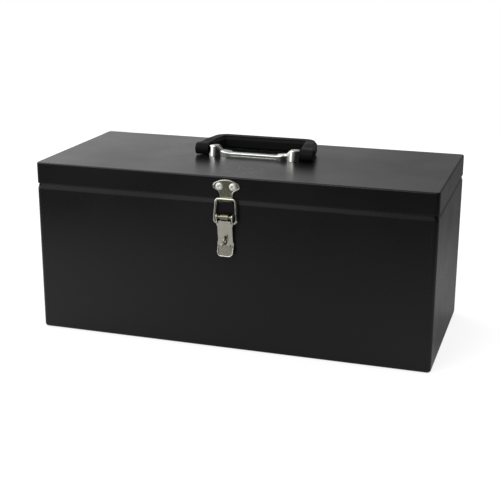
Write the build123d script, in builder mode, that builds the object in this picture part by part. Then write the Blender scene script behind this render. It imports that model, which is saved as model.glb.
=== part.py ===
"""Steel hand tool box with a hinged flat lid, a draw latch and a folding handle.

Millimetres. The origin is the middle of the bottom, -Y is the front, +X the right and +Z up.
Sizes "out" are measured forward from the front face, sizes "up" from the lid's top.
"""
from build123d import *
import math
import os

os.makedirs("parts", exist_ok=True)

# Overall box
box_length = 512.0
box_depth = 224.0
box_height = 222.0
sheet = 1.0
hem_corner_radius = 0.4
bottom_radius = 4.0
seam_inset = 7.0
flange_lap = 12.0
flange_root = 3.0
flange_margin = 14.0

# Lid and the neck that it closes over
skirt_height = 27.3
lid_edge_radius = 2.0
hem_height = 8.0
skirt_gap = 0.6
seat_gap = 0.35
shoulder_reveal = 6.7
shoulder_bend = 5.0
neck_lap = 12.0
groove_rise = 1.4

# Continuous hinge at the rear
hinge_length = 470.0
knuckle_count = 17
knuckle_gap = 0.4
leaf = 0.8
leaf_height = 12.0
hinge_pin_radius = 1.2
running_gap = 0.05
hinge_drop_gap = 0.25
leaf_start_gap = 0.15

# Blind rivets
rivet_head_radius = 4.8
rivet_head_height = 1.9
rivet_shank_radius = 2.4
rivet_pit_radius = 1.5
rivet_pit_depth = 1.1
rivet_tail_radius = 3.0
rivet_tail_length = 3.6
rivet_dome_share = 0.72
drill_reach = 30.0

# Keeper plate on the lid
keeper_plate_thickness = 1.4
keeper_top_margin = 3.2
keeper_height = 24.0
keeper_crown_half = 13.6
keeper_crown_drop = 3.7
keeper_ear_half = 17.3
keeper_ear_drop = 8.6
keeper_ear_low_half = 14.0
keeper_ear_low_drop = 12.2
keeper_waist_half = 9.6
keeper_waist_drop = 14.8
keeper_neck_half = 8.2
keeper_neck_drop = 17.6
keeper_rivet_half = 8.6
keeper_rivet_drop = 8.6
keeper_edge_radius = 0.5
hook_bend_radius = 1.2
hook_reach_gap = 1.2
hook_lip = 0.25

# Wire bail
wire_radius = 1.5
wire_rise = 0.3
bail_gap = 0.6
hook_gap = 0.45
bail_top_half = 12.4
bail_bottom_half = 14.25
bail_corner_radius = 3.6
bail_end_inset = 0.7
bail_pivot_out = 5.5
bail_pivot_drop = 7.3
bail_hole_gap = 0.06
bail_relief = 0.25

# Latch base, lever and padlock eye
latch_plate = 1.4
pin_drop_from_lid = 21.2
lever_pin_radius = 2.2
lever_pin_out = 7.0
pin_head_radius = 3.1
pin_head_length = 0.8
knuckle_half = 5.0
base_half = 8.2
base_top_drop = 9.5
base_bottom_drop = 39.0
base_corner_radius = 2.8
base_rivet_half = 4.0
base_rivet_drop = 16.0
base_rivet_head = 3.8
lever_thickness = 1.2
lever_half = 10.4
lever_top_drop = 8.2
lever_crest_drop = 4.6
lever_top_out = 8.0
lever_bend_drop = 37.0
lever_bend_out = 3.4
lever_tip_drop = 50.0
lever_tip_out = 7.4
lever_bend_radius = 2.5
lever_tip_radius = 6.0
lever_ear_radius = 3.9
lever_eye_wall = 1.1
lever_flange_end_drop = 32.0
lever_flange_back = 2.3
gusset_half = 5.2
gusset_radius = 1.4
staple_thickness = 1.6
staple_drop = 29.75
staple_half = 4.9
staple_hole_radius = 2.75
staple_hole_out = 7.9
slot_side_gap = 0.5
slot_end_gap = 0.65

# Handle strap on the lid
strap_width = 12.6
strap_thickness = 1.8
strap_wall = 1.2
strap_wall_flare = 0.9
strap_mid_up = 6.6
strap_mid_half = 33.0
strap_arch_up = 14.2
strap_arch_start = 50.0
strap_leg_outer = 61.0
strap_bend_radius = 3.0
strap_edge_radius = 1.4
foot_inner = 44.0
foot_outer = 55.0
foot_flare = 2.2
foot_inset = 0.4
screw_half = 24.0
screw_radius = 2.5
screw_head_radius = 4.6
screw_head_height = 2.6
nut_across_flats = 8.0
nut_height = 4.0
backing_thickness = 1.2
backing_length = 132.0
backing_width = 34.0
backing_corner_radius = 8.5

# Moulded handle and its pins
pivot_up = 8.4
barrel_radius = 7.7
barrel_outer = 79.0
barrel_gap = 0.4
grip_outer_half = 70.5
grip_reach = 62.0
grip_corner_radius = 19.0
grip_edge_radius = 3.8
grip_crown_half = 6.2
grip_crown_rise = 1.6
grip_crown_edge = 1.3
crown_start = 12.0
crown_end = 26.0
barrel_edge_radius = 1.0
barrel_dish_inner = 3.2
barrel_dish_outer = 5.6
barrel_dish_depth = 0.9
pivot_pin_radius = 2.4
pivot_pin_head_radius = 3.2
pivot_pin_head_length = 2.2
pivot_pin_grip = 16.0

# Places that follow from the sizes above
front = -box_depth / 2
lid_bottom = box_height - skirt_height
wall_top = lid_bottom - shoulder_reveal
neck_top = lid_bottom + neck_lap
neck_inset = 2 * sheet + skirt_gap
corner_radius = neck_inset + 2 * sheet + hem_corner_radius
hem_round = 0.9 * sheet
seat_height = shoulder_reveal + sheet
seat_lean = math.acos((sheet + seat_gap) / math.hypot(seat_height, sheet)) - math.atan2(sheet, seat_height)
shoulder_rise = neck_inset * math.tan(seat_lean)
knuckle_radius = hinge_pin_radius + running_gap + leaf
hinge_y = box_depth / 2 - sheet - knuckle_radius
hinge_z = lid_bottom - knuckle_radius - hinge_drop_gap
rear_neck_y = hinge_y - knuckle_radius
seam_x = box_length / 2 - seam_inset
knuckle_pitch = hinge_length / knuckle_count
pin_z = lid_bottom - pin_drop_from_lid
wire_out = keeper_plate_thickness + bail_gap + wire_radius
wire_z = lid_bottom + wire_rise
ledge_z = wire_z - wire_radius - hook_gap
hook_out = wire_out + wire_radius + hook_reach_gap
bail_z = pin_z - bail_pivot_drop
keeper_top = box_height - keeper_top_margin
keeper_rivet_z = keeper_top - keeper_rivet_drop
base_rivet_z = pin_z - base_rivet_drop
staple_z = pin_z - staple_drop
pivot_z = box_height + pivot_up
barrel_inner = strap_leg_outer + barrel_gap

front_plane = Plane.XZ.offset(box_depth / 2)
lid_plane = Plane.XY.offset(box_height)


def body_form(inset):
    """Closed body shape, drawn in by one inset all round and open-topped past the neck."""
    length = box_length - 2 * inset
    depth = box_depth - 2 * inset
    radius = corner_radius - inset
    with BuildPart() as form:
        with BuildSketch(Plane.XY.offset(inset)):
            RectangleRounded(length, depth, radius)
        extrude(amount=wall_top - inset)
        fillet(form.faces().sort_by(Axis.Z)[0].edges(), bottom_radius - inset)
        with BuildSketch(Plane.XY.offset(wall_top)):
            RectangleRounded(length, depth, radius)
        with BuildSketch(Plane.XY.offset(wall_top + shoulder_rise)) as neck:
            RectangleRounded(length - 2 * neck_inset, depth - 2 * neck_inset, radius - neck_inset)
        loft()
        bend_edges = form.edges().filter_by(lambda e: abs(e.center().Z - wall_top) < sheet / 4)
        fillet(bend_edges, shoulder_bend - inset)
        extrude(neck.sketch, amount=neck_top - wall_top - shoulder_rise + inset)
        # Groove along the rear for the hinge
        edge = box_depth / 2 - inset
        with BuildSketch(Plane.YZ):
            with BuildLine():
                Polyline(
                    (edge, wall_top - inset),
                    (rear_neck_y - inset, wall_top + groove_rise - inset),
                    (rear_neck_y - inset, box_height),
                    (box_depth, box_height),
                    (box_depth, wall_top - inset),
                    close=True,
                )
            make_face()
        extrude(amount=box_length, both=True, mode=Mode.SUBTRACT)
    return form.part


def lid_form(inset):
    """Closed lid shape, drawn in by one inset all round."""
    with BuildPart() as form:
        with BuildSketch(Plane.XY.offset(lid_bottom)):
            RectangleRounded(box_length - 2 * inset, box_depth - 2 * inset, corner_radius - inset)
        extrude(amount=skirt_height - inset)
        fillet(form.faces().sort_by(Axis.Z)[-1].edges(), lid_edge_radius - inset)
    return form.part


def blind_rivets(places, seat_out, grip, head_radius):
    """Rivets through the front, seated at one distance out, each set by an upset tail inside."""
    seat = front - seat_out
    top = seat - rivet_head_height
    tail = seat + grip
    with BuildPart() as rivets:
        for x, z in places:
            with BuildSketch(Plane((x, 0, z), x_dir=(1, 0, 0), z_dir=(0, 0, 1))):
                with BuildLine():
                    Polyline(
                        (rivet_pit_radius, top),
                        (rivet_pit_radius, top + rivet_pit_depth),
                        (0, top + rivet_pit_depth),
                        (0, tail + rivet_tail_length),
                        (rivet_shank_radius, tail + rivet_tail_length),
                        (rivet_tail_radius, tail + rivet_tail_length / 2),
                        (rivet_tail_radius, tail),
                        (rivet_shank_radius, tail),
                        (rivet_shank_radius, seat),
                        (head_radius, seat),
                    )
                    ThreePointArc(
                        (head_radius, seat),
                        (rivet_dome_share * head_radius, seat - rivet_dome_share * rivet_head_height),
                        (rivet_pit_radius, top),
                    )
                make_face()
            revolve(axis=Axis((x, 0, z), (0, 1, 0)))
    return rivets.part


def front_drill(places, radius):
    """Drill bits for holes through whatever stands on the front."""
    with BuildPart() as bits:
        with BuildSketch(front_plane):
            with Locations(*places):
                Circle(radius)
        extrude(amount=drill_reach, both=True)
    return bits.part


keeper_rivet_places = [(-keeper_rivet_half, keeper_rivet_z), (keeper_rivet_half, keeper_rivet_z)]
base_rivet_places = [(-base_rivet_half, base_rivet_z), (base_rivet_half, base_rivet_z)]
keeper_drill = front_drill(keeper_rivet_places, rivet_shank_radius)
base_drill = front_drill(base_rivet_places, rivet_shank_radius)

# Body: shell with a safety hem folded inside the neck, cut into the wrap and two end panels
body_outer = body_form(0)
body_inner = body_form(sheet)
body_hem = body_form(2 * sheet)
hem_plane = Plane.XY.offset(neck_top - hem_height)

with BuildPart() as cavity:
    add(body_inner)
    split(bisect_by=hem_plane, keep=Keep.BOTTOM)

with BuildPart() as rim_cavity:
    add(body_hem)
    split(bisect_by=hem_plane, keep=Keep.TOP)

with BuildPart() as body_wrap:
    add(body_outer)
    add(cavity.part, mode=Mode.SUBTRACT)
    add(rim_cavity.part, mode=Mode.SUBTRACT)
    split(bisect_by=Plane.YZ.offset(seam_x), keep=Keep.BOTTOM)
    split(bisect_by=Plane.YZ.offset(-seam_x), keep=Keep.TOP)
    add(base_drill, mode=Mode.SUBTRACT)
body_wrap.part.label = "body_wrap"
export_step(body_wrap.part, "parts/body_wrap.step")


def end_panel(side):
    """End of the body with its corner rounds, and flanges that lap inside the wrap."""
    lap_middle = side * (seam_x + (flange_root - flange_lap) / 2)
    lap_length = flange_root + flange_lap
    upright = wall_top - 2 * flange_margin
    with BuildPart() as panel:
        add(body_outer)
        add(cavity.part, mode=Mode.SUBTRACT)
        add(rim_cavity.part, mode=Mode.SUBTRACT)
        split(bisect_by=Plane.YZ.offset(side * seam_x), keep=Keep.TOP if side > 0 else Keep.BOTTOM)
        for face_y in (-1, 1):
            with Locations((lap_middle, face_y * (box_depth / 2 - 1.5 * sheet), wall_top / 2)):
                Box(lap_length, sheet, upright)
        with Locations((lap_middle, 0, 1.5 * sheet)):
            Box(lap_length, box_depth - 2 * flange_margin, sheet)
    return panel.part


left_end_panel = end_panel(-1)
left_end_panel.label = "left_end_panel"
export_step(left_end_panel, "parts/left_end_panel.step")

right_end_panel = end_panel(1)
right_end_panel.label = "right_end_panel"
export_step(right_end_panel, "parts/right_end_panel.step")

# Lid: folded pan, its front and side skirts hemmed inwards, its rear skirt plain for the hinge
lid_outer = lid_form(0)
lid_inner = lid_form(sheet)
hem_rear = hinge_y - 2 * knuckle_radius
screw_places = [(-screw_half, 0), (screw_half, 0)]

with BuildPart() as lid_pan:
    add(lid_outer)
    add(lid_inner, mode=Mode.SUBTRACT)
    with BuildSketch(Plane.XY.offset(lid_bottom)):
        RectangleRounded(box_length - 2 * sheet, box_depth - 2 * sheet, corner_radius - sheet)
        RectangleRounded(
            box_length - 4 * sheet, box_depth - 4 * sheet, corner_radius - 2 * sheet, mode=Mode.SUBTRACT
        )
        with Locations((0, hem_rear)):
            Rectangle(box_length, box_depth, align=(Align.CENTER, Align.MIN), mode=Mode.SUBTRACT)
    extrude(amount=hem_height)
    hem_edges = lid_pan.faces().sort_by(Axis.Z)[0].edges()
    fillet(hem_edges.filter_by(lambda e: e.center().Y < hem_rear - sheet), hem_round)
    add(keeper_drill, mode=Mode.SUBTRACT)
    with BuildSketch(lid_plane):
        with Locations(*screw_places):
            Circle(screw_radius)
    extrude(amount=2 * sheet, both=True, mode=Mode.SUBTRACT)
lid_pan.part.label = "lid_pan"
export_step(lid_pan.part, "parts/lid_pan.step")


def hinge_leaf(side, first):
    """Leaf on one side of the hinge axis, with every second knuckle curled round the pin."""
    flat_y = hinge_y + side * (knuckle_radius - leaf / 2)
    flat_start = hinge_z + knuckle_radius + leaf_start_gap
    flat_end = hinge_z + knuckle_radius + leaf_height
    with BuildPart() as strip:
        with BuildSketch(Plane.YZ):
            with Locations((flat_y, (flat_start + flat_end) / 2)):
                Rectangle(leaf, flat_end - flat_start)
        extrude(amount=hinge_length / 2, both=True)
        for number in range(first, knuckle_count, 2):
            x = (number - (knuckle_count - 1) / 2) * knuckle_pitch
            with BuildSketch(Plane.YZ.offset(x)):
                with Locations((hinge_y, hinge_z)):
                    Circle(knuckle_radius)
                with Locations((flat_y, (hinge_z + flat_start) / 2)):
                    Rectangle(leaf, flat_start - hinge_z)
                with Locations((hinge_y, hinge_z)):
                    Circle(hinge_pin_radius + running_gap, mode=Mode.SUBTRACT)
            extrude(amount=(knuckle_pitch - knuckle_gap) / 2, both=True)
    return strip.part


hinge_body_leaf = hinge_leaf(-1, 0)
hinge_body_leaf.label = "hinge_body_leaf"
export_step(hinge_body_leaf, "parts/hinge_body_leaf.step")

hinge_lid_leaf = hinge_leaf(1, 1)
hinge_lid_leaf.label = "hinge_lid_leaf"
export_step(hinge_lid_leaf, "parts/hinge_lid_leaf.step")

# Hinge pin, its ends upset so that it cannot creep out of the end knuckles
with BuildPart() as hinge_pin:
    with BuildSketch(Plane.YZ):
        with Locations((hinge_y, hinge_z)):
            Circle(hinge_pin_radius)
    extrude(amount=hinge_length / 2, both=True)
    for side in (-1, 1):
        with BuildSketch(Plane.YZ.offset(side * hinge_length / 2)):
            with Locations((hinge_y, hinge_z)):
                Circle(hinge_pin_radius + leaf / 2)
        extrude(amount=side * leaf)
hinge_pin.part.label = "hinge_pin"
export_step(hinge_pin.part, "parts/hinge_pin.step")

# Keeper: crowned plate with two ears, its neck bent forward into the hook under the bail
with BuildPart() as keeper_plate:
    with BuildSketch(front_plane):
        with BuildLine():
            crown_middle = (keeper_crown_half / 2, keeper_top - keeper_crown_drop / 4)
            crown_side = (keeper_crown_half, keeper_top - keeper_crown_drop)
            ThreePointArc((0, keeper_top), crown_middle, crown_side)
            ThreePointArc(
                crown_side,
                (keeper_ear_half, keeper_top - keeper_ear_drop),
                (keeper_ear_low_half, keeper_top - keeper_ear_low_drop),
            )
            Polyline(
                (keeper_ear_low_half, keeper_top - keeper_ear_low_drop),
                (keeper_waist_half, keeper_top - keeper_waist_drop),
                (keeper_neck_half, keeper_top - keeper_neck_drop),
                (keeper_neck_half, keeper_top - keeper_height),
                (0, keeper_top - keeper_height),
            )
            mirror(about=Plane.YZ)
        make_face()
    extrude(amount=keeper_plate_thickness)
    face_edges = keeper_plate.faces().sort_by(Axis.Y)[0].edges()
    round_above = keeper_top - keeper_height + sheet
    fillet(face_edges.filter_by(lambda e: e.center().Z > round_above), keeper_edge_radius)
    with BuildSketch(Plane.YZ):
        with BuildLine():
            hook_line = FilletPolyline(
                (front, keeper_top - keeper_height),
                (front, ledge_z - keeper_plate_thickness),
                (front - hook_out, ledge_z - keeper_plate_thickness + hook_lip),
                radius=hook_bend_radius + keeper_plate_thickness,
            )
            offset(hook_line, amount=keeper_plate_thickness, side=Side.RIGHT)
        make_face()
    extrude(amount=keeper_neck_half, both=True)
    add(keeper_drill, mode=Mode.SUBTRACT)
keeper_plate.part.label = "keeper_plate"
export_step(keeper_plate.part, "parts/keeper_plate.step")

keeper_rivets = blind_rivets(
    keeper_rivet_places, keeper_plate_thickness, keeper_plate_thickness + sheet, rivet_head_radius
)
keeper_rivets.label = "keeper_rivets"
export_step(keeper_rivets, "parts/keeper_rivets.step")

# Latch base: plate on the body, its tongue led out and curled round the lever pin
pin_y = front - lever_pin_out
curl_radius = lever_pin_radius + running_gap + latch_plate
tongue_back = pin_y + curl_radius
base_top = pin_z - base_top_drop
base_bottom = pin_z - base_bottom_drop

with BuildPart() as latch_base:
    with BuildSketch(front_plane):
        with Locations((0, (base_top + base_bottom) / 2)):
            RectangleRounded(2 * base_half, base_top - base_bottom, base_corner_radius)
    extrude(amount=latch_plate)
    with BuildSketch(Plane.YZ):
        with BuildLine():
            tongue_line = Polyline(
                (front, base_top - base_corner_radius),
                (front, base_top),
                (tongue_back, pin_z - latch_plate),
                (tongue_back, pin_z),
            )
            offset(tongue_line, amount=latch_plate, side=Side.LEFT)
        make_face()
        with Locations((pin_y, pin_z)):
            Circle(curl_radius)
            Circle(lever_pin_radius + running_gap, mode=Mode.SUBTRACT)
    extrude(amount=knuckle_half, both=True)
    add(base_drill, mode=Mode.SUBTRACT)
    # Mortise for the padlock eye
    with BuildSketch(front_plane):
        with Locations((0, staple_z)):
            Rectangle(staple_thickness, 2 * staple_half)
    extrude(amount=latch_plate, mode=Mode.SUBTRACT)
latch_base.part.label = "latch_base"
export_step(latch_base.part, "parts/latch_base.step")

latch_base_rivets = blind_rivets(base_rivet_places, latch_plate, latch_plate + sheet, base_rivet_head)
latch_base_rivets.label = "latch_base_rivets"
export_step(latch_base_rivets, "parts/latch_base_rivets.step")

# Padlock eye, an upright plate set in the base
with BuildPart() as padlock_staple:
    with BuildSketch(Plane.YZ):
        with Locations((front - staple_hole_out / 2, staple_z)):
            Rectangle(staple_hole_out, 2 * staple_half)
        with Locations((front - staple_hole_out, staple_z)):
            Circle(staple_half)
            Circle(staple_hole_radius, mode=Mode.SUBTRACT)
    extrude(amount=staple_thickness / 2, both=True)
padlock_staple.part.label = "padlock_staple"
export_step(padlock_staple.part, "parts/padlock_staple.step")

# Lever: pressed plate with side flanges, a slot for the padlock eye and a flared finger tab
lever_slope = (lever_top_out - lever_bend_out) / (lever_bend_drop - lever_top_drop)
crest_out = lever_top_out + lever_slope * (lever_top_drop - lever_crest_drop)
flange_end_out = lever_bend_out + lever_slope * (lever_bend_drop - lever_flange_end_drop)
bail_y = front - bail_pivot_out
bail_end = lever_half - lever_thickness - bail_end_inset
eye_radius = wire_radius + bail_hole_gap + lever_eye_wall

with BuildPart() as latch_lever:
    with BuildSketch(Plane.YZ):
        with BuildLine():
            lever_line = FilletPolyline(
                (front - crest_out, pin_z - lever_crest_drop),
                (front - lever_bend_out, pin_z - lever_bend_drop),
                (front - lever_tip_out, pin_z - lever_tip_drop),
                radius=lever_bend_radius,
            )
            offset(lever_line, amount=lever_thickness, side=Side.LEFT)
        make_face()
    extrude(amount=lever_half, both=True)
    # Rounded finger tab, seen from the front
    with BuildSketch(front_plane) as tab:
        with Locations((0, pin_z - lever_tip_drop)):
            Rectangle(2 * lever_half, lever_tip_drop, align=(Align.CENTER, Align.MIN))
        fillet(tab.vertices().group_by(Axis.Y)[0], lever_tip_radius)
    extrude(amount=2 * lever_pin_out, mode=Mode.INTERSECT)
    # Notches beside the crest, and a relief behind them, for the ends of the bail
    notch_x = lever_half - bail_end + bail_end_inset
    for side in (-1, 1):
        with BuildSketch(Plane.YZ.offset(side * lever_half)):
            with Locations((bail_y, bail_z)):
                Circle(wire_radius + bail_relief)
            with Locations((front - lever_pin_out, pin_z - lever_top_drop)):
                Rectangle(2 * lever_pin_out, lever_top_drop, align=(Align.CENTER, Align.MIN))
        extrude(amount=-side * notch_x, mode=Mode.SUBTRACT)
    # Side flanges with the ears for the pin and the eyes for the bail
    for side in (-1, 1):
        with BuildSketch(Plane.YZ.offset(side * (lever_half - lever_thickness / 2))):
            with Locations((pin_y, pin_z)):
                Circle(lever_ear_radius)
            with Locations((bail_y, bail_z)):
                Circle(eye_radius)
            make_hull()
            with BuildLine():
                Polyline(
                    (front - lever_top_out, pin_z - lever_top_drop),
                    (front - flange_end_out, pin_z - lever_flange_end_drop),
                    (front - lever_flange_back, pin_z - lever_flange_end_drop),
                    (bail_y + eye_radius, bail_z),
                    close=True,
                )
            make_face()
            with Locations((pin_y, pin_z)):
                Circle(lever_pin_radius, mode=Mode.SUBTRACT)
            with Locations((bail_y, bail_z)):
                Circle(wire_radius + bail_hole_gap, mode=Mode.SUBTRACT)
        extrude(amount=lever_thickness / 2, both=True)
    # Slot for the padlock eye
    with BuildSketch(front_plane):
        with Locations((0, staple_z)):
            Rectangle(staple_thickness + 2 * slot_side_gap, 2 * (staple_half + slot_end_gap))
    extrude(amount=2 * lever_pin_out, mode=Mode.SUBTRACT)
    # Pressed gussets across the bend
    gusset_y = front - lever_bend_out + lever_thickness - gusset_radius
    gusset_z = pin_z - lever_bend_drop
    with Locations((-gusset_half, gusset_y, gusset_z), (gusset_half, gusset_y, gusset_z)):
        Sphere(gusset_radius)
latch_lever.part.label = "latch_lever"
export_step(latch_lever.part, "parts/latch_lever.step")

# Lever pin, riveted over outside both ears
with BuildPart() as lever_pin:
    with BuildSketch(Plane.YZ):
        with Locations((pin_y, pin_z)):
            Circle(lever_pin_radius)
    extrude(amount=lever_half, both=True)
    for side in (-1, 1):
        with BuildSketch(Plane.YZ.offset(side * lever_half)):
            with Locations((pin_y, pin_z)):
                Circle(pin_head_radius)
        extrude(amount=side * pin_head_length)
lever_pin.part.label = "lever_pin"
export_step(lever_pin.part, "parts/lever_pin.step")

# Bail: one wire bent from the eyes of the lever up and over the keeper hook
bail_top_y = front - wire_out

with BuildPart() as bail_wire:
    with BuildLine() as wire_path:
        FilletPolyline(
            (-bail_end, bail_y, bail_z),
            (-bail_bottom_half, bail_y, bail_z),
            (-bail_top_half, bail_top_y, wire_z),
            (bail_top_half, bail_top_y, wire_z),
            (bail_bottom_half, bail_y, bail_z),
            (bail_end, bail_y, bail_z),
            radius=bail_corner_radius,
        )
    with BuildSketch(wire_path.line ^ 0):
        Circle(wire_radius)
    sweep()
bail_wire.part.label = "bail_wire"
export_step(bail_wire.part, "parts/bail_wire.step")

# Handle strap: channel in the middle, an arch and an upright leg at each end
strap_slope = (strap_arch_up - strap_mid_up) / (strap_arch_start - strap_mid_half)
foot_up = strap_mid_up + strap_slope * (foot_inner - strap_mid_half) - strap_thickness / 2
arch_middle_up = strap_arch_up - strap_thickness / 2
wall_up = strap_mid_up - (strap_edge_radius + strap_thickness) / 2


def strap_side(face, reach, up, inset, flare):
    """Side wall of the strap out to one X, leaning out to its foot on the lid."""
    head_y = face * (strap_width / 2 - inset)
    foot_y = head_y + face * flare
    wall = face * strap_wall
    with BuildPart() as side_wall:
        with BuildSketch(Plane.YZ):
            with BuildLine():
                Polyline(
                    (foot_y, box_height),
                    (head_y, box_height + up),
                    (head_y - wall, box_height + up),
                    (foot_y - wall, box_height),
                    close=True,
                )
            make_face()
        extrude(amount=reach, both=True)
    return side_wall.part


def foot_tab(side, face):
    """Tab under one corner of an arch, flared out to its foot on the lid."""
    with BuildPart() as tab:
        add(strap_side(face, foot_outer, arch_middle_up, foot_inset, foot_flare))
        with BuildSketch(Plane.XZ):
            with BuildLine():
                Polyline(
                    (side * foot_inner, box_height),
                    (side * foot_inner, box_height + foot_up),
                    (side * strap_arch_start, box_height + arch_middle_up),
                    (side * foot_outer, box_height + arch_middle_up),
                    (side * foot_outer, box_height),
                    close=True,
                )
            make_face()
        extrude(amount=strap_width, both=True, mode=Mode.INTERSECT)
    return tab.part


foot_tabs = [foot_tab(side, face) for side in (-1, 1) for face in (-1, 1)]
channel_walls = [strap_side(face, strap_mid_half, wall_up, 0, strap_wall_flare) for face in (-1, 1)]

with BuildPart() as handle_strap:
    with BuildLine() as strap_path:
        FilletPolyline(
            (-strap_leg_outer, 0, box_height),
            (-strap_leg_outer, 0, box_height + strap_arch_up),
            (-strap_arch_start, 0, box_height + strap_arch_up),
            (-strap_mid_half, 0, box_height + strap_mid_up),
            (strap_mid_half, 0, box_height + strap_mid_up),
            (strap_arch_start, 0, box_height + strap_arch_up),
            (strap_leg_outer, 0, box_height + strap_arch_up),
            (strap_leg_outer, 0, box_height),
            radius=strap_bend_radius,
        )
    strip_plane = Plane((-strap_leg_outer, 0, box_height), x_dir=(0, 1, 0), z_dir=(0, 0, 1))
    with BuildSketch(strip_plane) as strip:
        Rectangle(strap_width, strap_thickness, align=(Align.CENTER, Align.MAX))
        fillet(strip.vertices().group_by(Axis.Y)[-1], strap_edge_radius)
    sweep()
    add(channel_walls)
    add(foot_tabs)
    # Eyes for the handle's pins
    with BuildSketch(Plane.YZ):
        with Locations((0, pivot_z)):
            Circle(pivot_pin_radius + running_gap)
    extrude(amount=2 * strap_leg_outer, both=True, mode=Mode.SUBTRACT)
handle_strap.part.label = "handle_strap"
export_step(handle_strap.part, "parts/handle_strap.step")

# Weld nuts under the middle of the strap
nut_top = box_height + strap_mid_up - strap_thickness

with BuildPart() as strap_weld_nuts:
    with BuildSketch(Plane.XY.offset(nut_top)):
        with Locations(*screw_places):
            RegularPolygon(nut_across_flats / 2, 6, major_radius=False)
            Circle(screw_radius, mode=Mode.SUBTRACT)
    extrude(amount=-nut_height)
strap_weld_nuts.part.label = "strap_weld_nuts"
export_step(strap_weld_nuts.part, "parts/strap_weld_nuts.step")

# Doubler under the lid
backing_bottom = box_height - sheet - backing_thickness

with BuildPart() as handle_backing_plate:
    with BuildSketch(Plane.XY.offset(backing_bottom)):
        RectangleRounded(backing_length, backing_width, backing_corner_radius)
        with Locations(*screw_places):
            Circle(screw_radius, mode=Mode.SUBTRACT)
    extrude(amount=backing_thickness)
handle_backing_plate.part.label = "handle_backing_plate"
export_step(handle_backing_plate.part, "parts/handle_backing_plate.step")

# Screws from inside the lid up into the weld nuts
with BuildPart() as strap_screws:
    with BuildSketch(Plane.XY.offset(backing_bottom)):
        with Locations(*screw_places):
            Circle(screw_radius)
    extrude(amount=nut_top - backing_bottom)
    with BuildSketch(Plane.XY.offset(backing_bottom)):
        with Locations(*screw_places):
            Circle(screw_head_radius)
    extrude(amount=-screw_head_height)
    head_faces = strap_screws.faces().group_by(Axis.Z)[0]
    fillet(head_faces.edges(), screw_head_height / 2)
strap_screws.part.label = "strap_screws"
export_step(strap_screws.part, "parts/strap_screws.step")

# Handle: moulded U with a crowned top and a barrel on each pivot
arm_half = (barrel_outer - barrel_inner) / 2
arm_x = barrel_inner + arm_half
back_x = grip_outer_half - arm_half
grip_y = grip_reach - arm_half
grip_round = grip_corner_radius - arm_half
strap_swing = math.hypot(strap_width / 2 + foot_flare, pivot_up) + barrel_gap

with BuildPart() as handle_grip:
    with BuildLine() as grip_path:
        FilletPolyline(
            (-arm_x, 0, pivot_z),
            (-back_x, grip_y, pivot_z),
            (back_x, grip_y, pivot_z),
            (arm_x, 0, pivot_z),
            radius=grip_round,
        )
    arm_way = (arm_x - back_x, grip_y, 0)
    across_arm = (grip_y, back_x - arm_x, 0)
    with BuildSketch(Plane((-arm_x, 0, pivot_z), x_dir=across_arm, z_dir=arm_way)):
        RectangleRounded(2 * arm_half, 2 * barrel_radius, grip_edge_radius)
        with Locations((0, -barrel_radius)):
            RectangleRounded(2 * grip_crown_half, 2 * grip_crown_rise, grip_crown_edge)
    sweep()
    # The crown runs out before the barrels, so that the handle can fold to either side
    barrel_top = pivot_z + barrel_radius
    with BuildSketch(Plane.YZ):
        with BuildLine():
            Polyline(
                (-barrel_radius, barrel_top),
                (crown_start, barrel_top),
                (crown_end, barrel_top + grip_crown_rise),
                (crown_end, barrel_top + barrel_radius),
                (-barrel_radius, barrel_top + barrel_radius),
                close=True,
            )
        make_face()
    extrude(amount=barrel_outer, both=True, mode=Mode.SUBTRACT)
    # Room for the arches of the strap at every angle of the handle
    with BuildSketch(Plane.YZ):
        with Locations((0, pivot_z)):
            Circle(strap_swing)
    extrude(amount=barrel_inner, both=True, mode=Mode.SUBTRACT)
    for side in (-1, 1):
        with BuildSketch(Plane.YZ.offset(side * barrel_inner)):
            with Locations((0, pivot_z)):
                Circle(barrel_radius)
        extrude(amount=side * (barrel_outer - barrel_inner))
        with BuildSketch(Plane.YZ.offset(side * barrel_inner)):
            with Locations((0, pivot_z)):
                Circle(pivot_pin_radius)
        extrude(amount=side * pivot_pin_grip, mode=Mode.SUBTRACT)
    fillet(handle_grip.edges().group_by(Axis.X)[0], barrel_edge_radius)
    fillet(handle_grip.edges().group_by(Axis.X)[-1], barrel_edge_radius)
    # Ring sunk in the end of each barrel
    for side in (-1, 1):
        with BuildSketch(Plane.YZ.offset(side * barrel_outer)):
            with Locations((0, pivot_z)):
                Circle(barrel_dish_outer)
                Circle(barrel_dish_inner, mode=Mode.SUBTRACT)
        extrude(amount=-side * barrel_dish_depth, mode=Mode.SUBTRACT)
handle_grip.part.label = "handle_grip"
export_step(handle_grip.part, "parts/handle_grip.step")


def pivot_pin(side):
    """Steel pin of the handle, headed inside the arch and pressed into the barrel."""
    head_x = strap_leg_outer - strap_thickness - barrel_gap / 2
    with BuildPart() as pin:
        with BuildSketch(Plane.YZ.offset(side * head_x)):
            with Locations((0, pivot_z)):
                Circle(pivot_pin_radius)
        extrude(amount=side * (barrel_inner + pivot_pin_grip - head_x))
        with BuildSketch(Plane.YZ.offset(side * head_x)):
            with Locations((0, pivot_z)):
                Circle(pivot_pin_head_radius)
        extrude(amount=-side * pivot_pin_head_length)
    return pin.part


left_pivot_pin = pivot_pin(-1)
left_pivot_pin.label = "left_pivot_pin"
export_step(left_pivot_pin, "parts/left_pivot_pin.step")

right_pivot_pin = pivot_pin(1)
right_pivot_pin.label = "right_pivot_pin"
export_step(right_pivot_pin, "parts/right_pivot_pin.step")
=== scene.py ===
"""Looks of a black steel hand tool box, laid out as an add-on and run as a script."""
import math

import bmesh
import bpy
from mathutils import Matrix, Quaternion, Vector


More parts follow.
